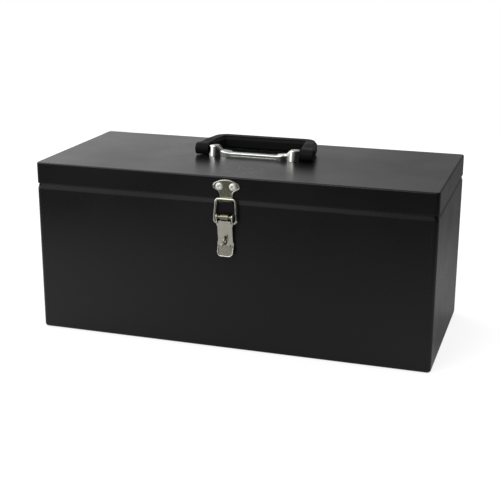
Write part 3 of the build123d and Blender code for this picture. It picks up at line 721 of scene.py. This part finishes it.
def settle(piece):
    """Gives a piece the plain mesh that its modifiers make."""
    depsgraph = bpy.context.evaluated_depsgraph_get()
    made = bpy.data.meshes.new_from_object(piece.evaluated_get(depsgraph), depsgraph=depsgraph)
    piece.modifiers.clear()
    piece.data = made
    if not made.polygons:
        raise RuntimeError(f"{piece.name}: its modifiers left nothing")
    form = bmesh.new()
    form.from_mesh(made)
    bmesh.ops.remove_doubles(form, verts=form.verts, dist=SAME_PLACE)
    bmesh.ops.dissolve_degenerate(form, dist=SAME_PLACE, edges=form.edges)
    bmesh.ops.recalc_face_normals(form, faces=form.faces)
    form.to_mesh(made)
    form.free()
    smoothed(made)


def bore(piece, sizes):
    """Cuts a hole for the handle's pin through each leg of the strap."""
    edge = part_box("handle_strap")[1].x
    form = bmesh.new()
    for side, pin in zip((-1, 1), HANDLE_PIN_NODES):
        low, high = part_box(pin)
        middle = Vector((side * (edge - sizes.thickness / 2), (low.y + high.y) / 2, (low.z + high.z) / 2))
        place = Matrix.Translation(middle) @ Matrix.Rotation(math.radians(90.0), 4, "Y")
        bmesh.ops.create_cone(form, cap_ends=True, segments=PIN_HOLE_SIDES, radius1=sizes.pin_hole,
                              radius2=sizes.pin_hole, depth=2 * sizes.thickness, matrix=place)
    mesh = mesh_of("pin_holes", form)
    cutter = placed("pin_holes", mesh)
    cut = piece.modifiers.new("bore", "BOOLEAN")
    cut.operation = "DIFFERENCE"
    cut.solver = "EXACT"
    cut.use_self = True
    cut.object = cutter
    settle(piece)
    bpy.data.objects.remove(cutter)
    bpy.data.meshes.remove(mesh)


# Rims, beads, ribs and the pressed lever


def bridge(form, rings):
    """Closes a form round a row of rings with equal counts of points."""
    count = len(rings[0])
    for first, second in zip(rings, rings[1:]):
        for side in range(count):
            last = (side + 1) % count
            form.faces.new((first[side], first[last], second[last], second[side]))
    form.faces.new(rings[0])
    form.faces.new(rings[-1])


def way_at(points, number):
    """The way that a row of points runs at one of them."""
    return points[min(number + 1, len(points) - 1)] - points[max(number - 1, 0)]


def bead_rings(form, points, normal, radius, sides=10):
    """One round bead along the points, its rings square to the path and its ends closed."""
    turns = [math.tau * side / sides for side in range(sides)]
    rings = []
    for number, point in enumerate(points):
        across = way_at(points, number).cross(normal).normalized()
        rings.append([form.verts.new(point + radius * (math.cos(turn) * across + math.sin(turn) * normal))
                      for turn in turns])
    bridge(form, rings)


def beads(name, body, paths, radius, finish):
    """A piece of round beads, each along the points of a path on a face with a normal."""
    form = bmesh.new()
    for points, normal in paths:
        bead_rings(form, points, normal, radius)
    return formed(name, body, form, finish)


def formed(name, body, form, finish):
    """A piece made from a built form, riding on a body."""
    bmesh.ops.recalc_face_normals(form, faces=form.faces)
    mesh = mesh_of(name, form)
    mesh.materials.append(finish)
    smoothed(mesh)
    piece = placed(name, mesh)
    attached(piece, body)
    return piece


def bow(start, middle, end, steps=8):
    """Points from start towards end through the middle, without the end itself."""
    points = []
    for step in range(steps):
        t = step / steps
        points.append(Vector(start) * (1 - t) * (1 - 2 * t) + Vector(middle) * 4 * t * (1 - t)
                      + Vector(end) * t * (2 * t - 1))
    return points


def mirrored(points):
    """Flat points on the other side of the middle, in the other order."""
    return [Vector((-point.x, point.y)) for point in reversed(points)]


def keeper_rim(radius):
    """Path of the rim along the keeper's edge, from one side of its neck over the crown to the other."""
    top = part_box("keeper_plate")[1].z
    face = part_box("body_wrap")[0].y - KEEPER_THICKNESS
    right = bow(*KEEPER_CROWN) + bow(*KEEPER_EAR) + [Vector(point) for point in KEEPER_NECK]
    edge = mirrored(right[1:]) + right
    points = []
    for number, point in enumerate(edge):
        way = way_at(edge, number)
        inward = Vector((way.y, -way.x)).normalized()
        flat = point * MM + radius * inward
        points.append(Vector((flat.x, face, top + flat.y)))
    return points, FRONTWARD


def tab_rim(sizes, steps=8):
    """Path of the rim round the lever's finger tab."""
    low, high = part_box("latch_lever")
    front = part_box("body_wrap")[0].y
    half = high.x - sizes.rim_radius
    bottom = low.z + sizes.rim_radius
    corner = sizes.tab_corner - sizes.rim_radius
    lean = (sizes.tab_tip_out - sizes.tab_bend_out) / sizes.tab_height
    flat = [Vector((half, low.z + TAB_RIM_SHARE * sizes.tab_height))]
    for step in range(steps + 1):
        turn = math.radians(90.0 * step / steps)
        flat.append(Vector((half - corner * (1 - math.cos(turn)), bottom + corner * (1 - math.sin(turn)))))
    flat += mirrored(flat)
    tip = front - sizes.tab_tip_out
    points = [Vector((point.x, tip + lean * (point.y - low.z), point.y)) for point in flat]
    return points, Vector((0.0, -1.0, lean)).normalized()


def eased(value, start, end):
    """Rises smoothly from 0 at the start to 1 at the end."""
    share = min(max((value - start) / (end - start), 0.0), 1.0)
    return share * share * (3.0 - 2.0 * share)


def waisted_lever(sizes, cuts=24):
    """The lever's form, its sides drawn in between its ears and its finger tab."""
    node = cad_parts["latch_lever"].data
    low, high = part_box("latch_lever")
    form = bmesh.new()
    corners = [form.verts.new(vertex.co) for vertex in node.vertices]
    for face in node.polygons:
        form.faces.new([corners[number] for number in face.vertices])
    bmesh.ops.remove_doubles(form, verts=form.verts, dist=SAME_PLACE)
    start, end, blend = low.z + sizes.waist_low, low.z + sizes.waist_high, sizes.waist_blend
    for number in range(cuts + 1):
        height = start + (end - start) * number / cuts
        parts = form.verts[:] + form.edges[:] + form.faces[:]
        bmesh.ops.bisect_plane(form, geom=parts, plane_co=(0.0, 0.0, height), plane_no=(0.0, 0.0, 1.0))
    side = high.x - 2 * sizes.waist_draw
    for vert in form.verts:
        inside = eased(vert.co.z, start, start + blend) * (1 - eased(vert.co.z, end - blend, end))
        outward = min(max((abs(vert.co.x) - sizes.waist_core) / (side - sizes.waist_core), 0.0), 1.0)
        vert.co.x -= math.copysign(sizes.waist_draw * inside * outward, vert.co.x)
    return form


def front_seams():
    """Paths of the raised lines where the end panels meet the front."""
    low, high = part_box("body_wrap")
    face = low.y + SEAM_SINK
    ends = (low.z + SEAM_ABOVE_FOOT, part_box("lid_pan")[0].z - SEAM_BELOW_LID)
    return [([Vector((side * high.x, face, height)) for height in ends], FRONTWARD) for side in (-1, 1)]


# The handle's pressed strap, drawn in at a waist before each arch and out at the arch's foot


def rounded(points, radius, steps=4, spacing=1.5 * MM):
    """A path through the points with round corners, its straight runs cut short."""
    path = [points[0]]
    for before, corner, after in zip(points, points[1:], points[2:]):
        away, onward = (before - corner).normalized(), (after - corner).normalized()
        reach = radius / math.tan(away.angle(onward) / 2)
        start, end = corner + reach * away, corner + reach * onward
        path += straight(path[-1], start, spacing)
        for step in range(1, steps + 1):
            t = step / steps
            path.append(start * (1 - t) ** 2 + corner * 2 * t * (1 - t) + end * t ** 2)
    return path + straight(path[-1], points[-1], spacing)


def straight(start, end, spacing):
    """Points of a straight run, without its start."""
    count = max(1, math.ceil((end - start).length / spacing))
    return [start.lerp(end, number / count) for number in range(1, count + 1)]


def strap_path(sizes):
    """The strap's upper face from one end over both arches to the other, as (along, up)."""
    low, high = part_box("handle_strap")
    left = [
        Vector((low.x, low.z)),
        Vector((low.x, high.z)),
        Vector((-sizes.arch_start, high.z)),
        Vector((-sizes.slope_foot, low.z + sizes.slope_up)),
        Vector((-sizes.rise_start, low.z + sizes.middle_up)),
    ]
    return rounded(left + mirrored(left), sizes.bend)


def strap_half(sizes, along):
    """Half the strap's width at a place along it, and how far a wall's foot stands out there."""
    half, reach = sizes.width / 2, abs(along)
    if reach <= sizes.waist_start:
        return half, sizes.wall_flare
    if reach <= sizes.waist:
        share = (reach - sizes.waist_start) / (sizes.waist - sizes.waist_start)
        return half - sizes.waist_draw * (1 - math.cos(math.pi * share)) / 2, sizes.wall_flare
    share = (reach - sizes.waist) / (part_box("handle_strap")[1].x - sizes.waist)
    swell = math.sin(math.pi * min(share, 1.0))
    edge = half - sizes.waist_draw + (sizes.waist_draw + sizes.foot_bulge) * swell
    return edge, sizes.wall_flare + (sizes.foot_flare - sizes.wall_flare) * swell


def strap_strip(form, path, sizes, steps=4):
    """The bent strip, with round upper edges."""
    turns = [math.radians(90.0 * step / steps) for step in range(steps + 1)]
    right = [(0.0, -sizes.thickness)]
    right += [(sizes.edge * (math.cos(turn) - 1), sizes.edge * (math.sin(turn) - 1)) for turn in turns]
    rings = []
    for number, point in enumerate(path):
        way = way_at(path, number).normalized()
        rise = Vector((-way.y, way.x))
        half = strap_half(sizes, point.x)[0]
        section = [(half + inset, depth) for inset, depth in right]
        section += [(-across, depth) for across, depth in reversed(section)]
        places = [(point + depth * rise, across) for across, depth in section]
        rings.append([form.verts.new((place.x, across, place.y)) for place, across in places])
    bridge(form, rings)


def strap_wall(form, path, sizes, face):
    """The wall under one edge of the strip, down to its foot on the lid, which flares out at the arches."""
    low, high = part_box("handle_strap")
    rings = []
    for point in path:
        if abs(point.x) > high.x - sizes.thickness:
            continue
        half, flare = strap_half(sizes, point.x)
        head_y = face * half
        foot_y = face * (half + flare)
        inward = -face * sizes.wall
        top = point.y - sizes.edge
        corners = ((head_y, top), (foot_y, low.z), (foot_y + inward, low.z), (head_y + inward, top))
        rings.append([form.verts.new((point.x, across, up)) for across, up in corners])
    bridge(form, rings)


def strap_form(sizes):
    """The whole strap: strip, walls and the ribs in its bends."""
    form = bmesh.new()
    path = strap_path(sizes)
    strap_strip(form, path, sizes)
    for face in (-1, 1):
        strap_wall(form, path, sizes, face)
    sink = BEND_RIB_SINK * sizes.rib_radius
    for side in (-1, 1):
        bends = [point for point in path if sizes.rise_start < side * point.x < sizes.arch_start]
        for across in (-sizes.rib_out, sizes.rib_out):
            points = [Vector((point.x, across, point.y - sink)) for point in bends]
            bead_rings(form, points, Vector((0.0, 1.0, 0.0)), sizes.rib_radius)
    return form


def strap_lines(sizes, bead):
    """Paths of the beads along the strap's two walls."""
    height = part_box("handle_strap")[0].z + STRAP_BEAD_UP
    wall_height = sizes.middle_up - sizes.edge
    out = sizes.width / 2 + sizes.wall_flare * (1 - STRAP_BEAD_UP / wall_height) - bead / 4
    paths = []
    for face in (-1, 1):
        ends = [Vector((side * sizes.rise_start, face * out, height)) for side in (-1, 1)]
        paths.append((ends, Vector((0.0, face, 0.0))))
    return paths


def barrel_ribs(sizes):
    """Paths of the slanting ribs on the ends of the handle's barrels."""
    low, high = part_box("handle_grip")
    middle = Vector((0.0, low.y + sizes.barrel_radius, low.z + sizes.barrel_radius))
    along = Vector((0.0, math.sin(BARREL_RIB_LEAN), math.cos(BARREL_RIB_LEAN)))
    across = Vector((0.0, math.cos(BARREL_RIB_LEAN), -math.sin(BARREL_RIB_LEAN)))
    reach = BARREL_RIB_REACH * sizes.barrel_radius
    paths = []
    for side in (-1, 1):
        for number in BARREL_RIBS:
            away = number * sizes.rib_pitch
            half = math.sqrt(reach ** 2 - away ** 2)
            start = middle + away * across + Vector((side * high.x, 0.0, 0.0))
            paths.append(([start - half * along, start + half * along], Vector((side, 0.0, 0.0))))
    return paths


# Floor, light and camera


def ray_kinds(tree):
    """Whether the camera or a clear body sends a ray, and whether a reflection does."""
    path = tree.nodes.new("ShaderNodeLightPath")
    seen = arithmetic(tree, "MAXIMUM", path.outputs["Is Camera Ray"], path.outputs["Is Transmission Ray"])
    return seen, path.outputs["Is Glossy Ray"]


def floor_finish(settings):
    """Pale floor that takes a shadow, with light of its own for the camera and for reflections."""
    material, tree, shader, place = new_finish("pale_floor")
    seen, reflected = ray_kinds(tree)
    across, back, _ = axes(tree, place)
    left = spread(tree, across, settings.floor_glow, 0.0, *FLOOR_LEFT)
    near = spread(tree, back, 0.0, settings.near_glow, *FLOOR_NEAR)
    ahead = spread(tree, back, 1.0, 0.0, *FLOOR_AHEAD)
    right = spread(tree, across, 0.0, 1.0, *FLOOR_RIGHT)
    beside = spread(tree, back, settings.side_glow, 0.0, *FLOOR_BESIDE)
    beyond = spread(tree, back, 0.0, settings.side_dim, *FLOOR_BEYOND)
    front_glow = arithmetic(tree, "MULTIPLY", near, ahead)
    side_glow = arithmetic(tree, "MULTIPLY", right, beside)
    glow = arithmetic(tree, "ADD", left, front_glow, side_glow)
    dim = arithmetic(tree, "MULTIPLY", right, beyond, reflected)
    lift = arithmetic(tree, "MULTIPLY", seen, settings.floor_lift)
    lead(tree, shader, {
        "Base Color": two_colours(tree, dim, settings.floor_colour, (0.0, 0.0, 0.0)),
        "Roughness": FLOOR_ROUGHNESS,
        "Specular IOR Level": 0.0,
        "Emission Color": WHITE,
        "Emission Strength": arithmetic(tree, "ADD", lift, arithmetic(tree, "MULTIPLY", reflected, glow)),
    })
    return material


def lay_floor(settings):
    """A round pale floor just under the box."""
    form = bmesh.new()
    bmesh.ops.create_circle(form, cap_ends=True, segments=FLOOR_SIDES, radius=settings.floor_radius)
    bmesh.ops.translate(form, verts=form.verts, vec=(0.0, settings.floor_shift, CAD_LOW.z - FLOOR_DROP))
    floor = placed("floor", mesh_of("floor", form))
    floor.data.materials.append(floor_finish(settings))


def light_room(scene, settings):
    """A white surround for the camera, and in reflections one that is brighter at the left."""
    world = bpy.data.worlds.new("room")
    scene.world = world
    world.use_nodes = True
    tree = world.node_tree
    seen, reflected = ray_kinds(tree)
    across, back, up = axes(tree, tree.nodes.new("ShaderNodeTexCoord").outputs["Generated"])
    side = spread(tree, across, settings.room_left, settings.room_right, *ROOM_ACROSS)
    band = spread(tree, up, settings.low_front, settings.front_band, *ROOM_HORIZON)
    high = spread(tree, up, 0.0, settings.front_high - settings.front_band, *ROOM_HIGH)
    beside = spread(tree, across, 1.0, settings.front_right, *ROOM_FRONT_RIGHT)
    ahead = arithmetic(tree, "MULTIPLY", arithmetic(tree, "ADD", band, high), beside)
    corner = spread(tree, up, settings.low_front, settings.front_left, *ROOM_CORNER_HORIZON)
    front = mixed(tree, spread(tree, across, 1.0, 0.0, *ROOM_CORNER), ahead, corner)
    behind = spread(tree, up, settings.low_back, 1.0, *ROOM_HORIZON)
    level = mixed(tree, spread(tree, back, 0.0, 1.0, *ROOM_DEPTH), front, behind)
    shown = arithmetic(tree, "MULTIPLY", reflected, arithmetic(tree, "MULTIPLY", side, level))
    light = arithmetic(tree, "SUBTRACT", 1.0, arithmetic(tree, "MAXIMUM", seen, reflected))
    lit = arithmetic(tree, "MULTIPLY", light, settings.room_light)
    strength = arithmetic(tree, "ADD", shown, seen, lit)
    lead(tree, tree.nodes["Background"], {"Color": WHITE, "Strength": strength})


def hang_lamp(name, place, width, power):
    """A square lamp that faces the middle of the box."""
    lamp = bpy.data.lights.new(name, "AREA")
    lamp.shape = "SQUARE"
    lamp.size = width
    lamp.energy = power
    hung = placed(name, lamp)
    hung.location = place
    aim = (CAD_LOW + CAD_HIGH) / 2 - Vector(place)
    hung.rotation_euler = aim.to_track_quat("-Z", "Y").to_euler()


def set_camera(scene, settings):
    """The camera at the photograph's place and angle."""
    data = bpy.data.cameras.new("camera")
    data.sensor_width = SENSOR_WIDTH
    data.lens = settings.lens
    data.clip_start = CLIP_START
    data.clip_end = CLIP_END
    camera = placed("camera", data)
    azimuth, elevation = settings.camera_azimuth, settings.camera_elevation
    level = math.cos(elevation)
    back = Vector((math.sin(azimuth) * level, -math.cos(azimuth) * level, math.sin(elevation)))
    roll = Quaternion((0.0, 0.0, 1.0), settings.camera_roll)
    camera.location = settings.camera_place
    camera.rotation_mode = "QUATERNION"
    camera.rotation_quaternion = (-back).to_track_quat("-Z", "Y") @ roll
    scene.camera = camera


# Operators, one for each group of pieces


class CoatSheetMetal(bpy.types.Operator):
    """Coats the body, the lid and the hinge leaves"""

    bl_idname = "toolbox.coat_sheet_metal"
    bl_label = "Coat the sheet metal"

    def execute(self, context):
        coat = coat_finish(context.scene.toolbox_sheet)
        dress(SHEET_NODES, coat)
        sizes = context.scene.toolbox_beads
        beads("front_seam_lines", "box", front_seams(), sizes.seam_radius, coat)
        return {"FINISHED"}


class PlateLatch(bpy.types.Operator):
    """Plates the keeper, the latch base, the lever, its pin, the bail and the padlock eye"""

    bl_idname = "toolbox.plate_latch"
    bl_label = "Plate the latch"

    def execute(self, context):
        metal = context.scene.toolbox_metal
        sizes = context.scene.toolbox_beads
        colours = metal.plate_colour, metal.plate_tint
        lever = plate_finish("plated_steel", *colours, UPRIGHT_GRAIN, PLATE_ROUGHNESS)
        # Painted shade on the finger tab, below its bend
        paint_shade_below(lever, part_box("latch_lever")[0].z + sizes.tab_height, metal.tab_shade_share)
        dress(("latch_lever",), lever)
        # Finish, colour, share of its brightness that the clouds have, nodes and roughness
        rows = (
            ("keeper_steel", metal.keeper_colour, 0.85, ("keeper_plate",), PLATE_ROUGHNESS),
            # Painted shade: the latch base and the lever pin in darker plating
            ("shaded_base_steel", metal.shaded_base_colour, 0.8, ("latch_base", "lever_pin"), BASE_ROUGHNESS),
            ("bright_wire_and_rim_highlight", metal.wire_and_rim_highlight_colour, 0.92, ("bail_wire",), WIRE_ROUGHNESS),
        )
        for name, colour, share, nodes, roughness in rows:
            dress(nodes, plate_finish(name, colour, toned(colour, share), UPRIGHT_GRAIN, roughness))
        # Painted shade on the keeper's hook, below the bail's crossbar
        crossbar_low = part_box("bail_wire")[1].z - sizes.wire_width
        paint_shade_below(bpy.data.materials["keeper_steel"], crossbar_low, metal.hook_shade_share)
        # Painted shade on the padlock eye's side faces
        eye = cut_plate_finish("shaded_cut_steel", metal.eye_shade_colour, metal.shaded_base_colour, BASE_ROUGHNESS)
        dress(("padlock_staple",), eye)
        pressed = formed("pressed_lever", "lever", waisted_lever(sizes), lever)
        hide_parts("latch_lever")
        # Painted highlight: the pressed rims take the bail's brighter plating, lighter than the keeper and
        # the lever they are pressed from
        bright = bpy.data.materials["bright_wire_and_rim_highlight"]
        beads("keeper_rim", "lid", [keeper_rim(sizes.rim_radius)], sizes.rim_radius, bright)
        beads("tab_rim", "lever", [tab_rim(sizes)], sizes.rim_radius, bright)
        return {"FINISHED"}


class SetRivets(bpy.types.Operator):
    """Sets the blind rivets of the keeper and the latch base"""

    bl_idname = "toolbox.set_rivets"
    bl_label = "Set the rivets"

    def execute(self, context):
        sizes = context.scene.toolbox_repeats
        colour = context.scene.toolbox_metal.rivet_colour
        finish = plate_finish("rivet_metal", colour, toned(colour, share=0.9), RIVET_GRAIN, RIVET_ROUGHNESS)
        tree = rivet_tree()
        rows = (
            ("keeper_rivet_set", "keeper_rivets", "lid", sizes.keeper_head_radius),
            ("base_rivet_set", "latch_base_rivets", "box", sizes.base_head_radius),
        )
        for name, node, body, head_radius in rows:
            low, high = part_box(node)
            seat = low.y + sizes.head_height
            height = (low.z + high.z) / 2
            places = [(side * (high.x - head_radius), seat, height) for side in (-1, 1)]
            piece = repeated(name, places, tree, FRONT_TURN, finish, {
                "Head radius": head_radius,
                "Head height": sizes.head_height,
                "Tail radius": sizes.tail_radius,
                "Tail length": sizes.tail_length,
                "Grip": sizes.grip,
            })
            attached(piece, body)
            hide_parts(node)
        return {"FINISHED"}


class MarkWelds(bpy.types.Operator):
    """Marks the spot welds of the end panels' flanges and of the hinge leaf, at the rear"""

    bl_idname = "toolbox.mark_welds"
    bl_label = "Mark the spot welds"

    def execute(self, context):
        sizes = context.scene.toolbox_repeats
        finish = bpy.data.materials["black_powder_coat"]
        tree = weld_tree()
        marks = {"Radius": sizes.weld_radius, "Rise": sizes.weld_rise}
        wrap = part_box("body_wrap")[1]
        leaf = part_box("hinge_lid_leaf")[1]
        lid_low, lid_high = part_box("lid_pan")
        seam = (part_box(END_NODES[1])[0].x + wrap.x) / 2
        heights = evenly(WELD_ABOVE_FOOT, lid_low.z - WELD_BELOW_LID, sizes.weld_pitch)
        reach = leaf.x - sizes.weld_pitch / 4
        leaf_height = leaf.z - WELD_BELOW_LEAF_TOP
        leaf_places = evenly(-reach, reach, sizes.weld_pitch)
        rows = (
            ("rear_seam_welds", "box", [(side * seam, wrap.y, up) for side in (-1, 1) for up in heights]),
            ("hinge_leaf_welds", "lid", [(place, lid_high.y, leaf_height) for place in leaf_places]),
        )
        for name, body, places in rows:
            piece = repeated(name, places, tree, REAR_TURN, finish, marks)
            attached(piece, body)
        return {"FINISHED"}


class PolishStrap(bpy.types.Operator):
    """Finishes the handle's strap, and the steel fixings inside"""

    bl_idname = "toolbox.polish_strap"
    bl_label = "Polish the strap"

    def execute(self, context):
        metal = context.scene.toolbox_metal
        sizes = context.scene.toolbox_strap
        bead = context.scene.toolbox_beads.strap_bead
        colour = metal.chrome_colour
        clouded = toned(colour, share=0.93)
        bright = plate_finish("strap_chrome", colour, clouded, STRAP_GRAIN, STRAP_ROUGHNESS)
        colours = metal.plate_colour, metal.plate_tint
        plain = plate_finish("fixing_steel", *colours, FIXING_GRAIN, FIXING_ROUGHNESS)
        dress(("handle_strap",), bright)
        dress(FIXING_NODES + HANDLE_PIN_NODES, plain)
        strap = formed("pressed_strap", "lid", strap_form(sizes), bright)
        bore(strap, sizes)
        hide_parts("handle_strap")
        beads("strap_beads", "lid", strap_lines(sizes, bead), bead, bright)
        return {"FINISHED"}


class MouldHandle(bpy.types.Operator):
    """Finishes the moulded handle"""

    bl_idname = "toolbox.mould_handle"
    bl_label = "Mould the handle"

    def execute(self, context):
        plastic = plastic_finish(context.scene.toolbox_handle)
        dress(("handle_grip",), plastic)
        sizes = context.scene.toolbox_beads
        beads("barrel_end_ribs", "handle", barrel_ribs(sizes), sizes.rib_radius, plastic)
        return {"FINISHED"}


class SetStage(bpy.types.Operator):
    """Lays the floor and sets the light and the camera"""

    bl_idname = "toolbox.set_stage"
    bl_label = "Set the stage"

    def execute(self, context):
        settings = context.scene.toolbox_stage
        context.scene.view_settings.view_transform = "Standard"
        lay_floor(settings)
        light_room(context.scene, settings)
        hang_lamp(*KEY_LAMP, settings.key_power)
        hang_lamp(*FILL_LAMP, settings.fill_power)
        set_camera(context.scene, settings)
        return {"FINISHED"}


class ToolBoxPanel(bpy.types.Panel):
    """Sizes, finishes and steps of the tool box"""

    bl_idname = "VIEW3D_PT_toolbox"
    bl_label = "Tool box"
    bl_space_type = "VIEW_3D"
    bl_region_type = "UI"
    bl_category = "Tool box"

    def draw(self, context):
        for label in SETTINGS:
            group = getattr(context.scene, label)
            box = self.layout.box()
            for name in group.__annotations__:
                box.prop(group, name)
        for operator in OPERATORS:
            self.layout.operator(operator.bl_idname)


SETTINGS = {
    "toolbox_sheet": SheetFinish,
    "toolbox_metal": MetalFinish,
    "toolbox_handle": HandleFinish,
    "toolbox_repeats": RepeatSizes,
    "toolbox_beads": BeadSizes,
    "toolbox_strap": StrapSizes,
    "toolbox_stage": StageSettings,
}
OPERATORS = (CoatSheetMetal, PlateLatch, SetRivets, MarkWelds, PolishStrap, MouldHandle, SetStage)


def register():
    """Adds the settings, the operators and the panel."""
    for label, group in SETTINGS.items():
        bpy.utils.register_class(group)
        setattr(bpy.types.Scene, label, bpy.props.PointerProperty(type=group))
    for operator in OPERATORS:
        bpy.utils.register_class(operator)
    bpy.utils.register_class(ToolBoxPanel)


def unregister():
    """Takes them away again."""
    bpy.utils.unregister_class(ToolBoxPanel)
    for operator in reversed(OPERATORS):
        bpy.utils.unregister_class(operator)
    for label, group in reversed(SETTINGS.items()):
        delattr(bpy.types.Scene, label)
        bpy.utils.unregister_class(group)


def main():
    """Builds the looks step by step."""
    register()
    bpy.ops.toolbox.coat_sheet_metal()
    bpy.ops.toolbox.plate_latch()
    bpy.ops.toolbox.set_rivets()
    bpy.ops.toolbox.mark_welds()
    bpy.ops.toolbox.polish_strap()
    bpy.ops.toolbox.mould_handle()
    bpy.ops.toolbox.set_stage()


if __name__ == "__main__":
    main()
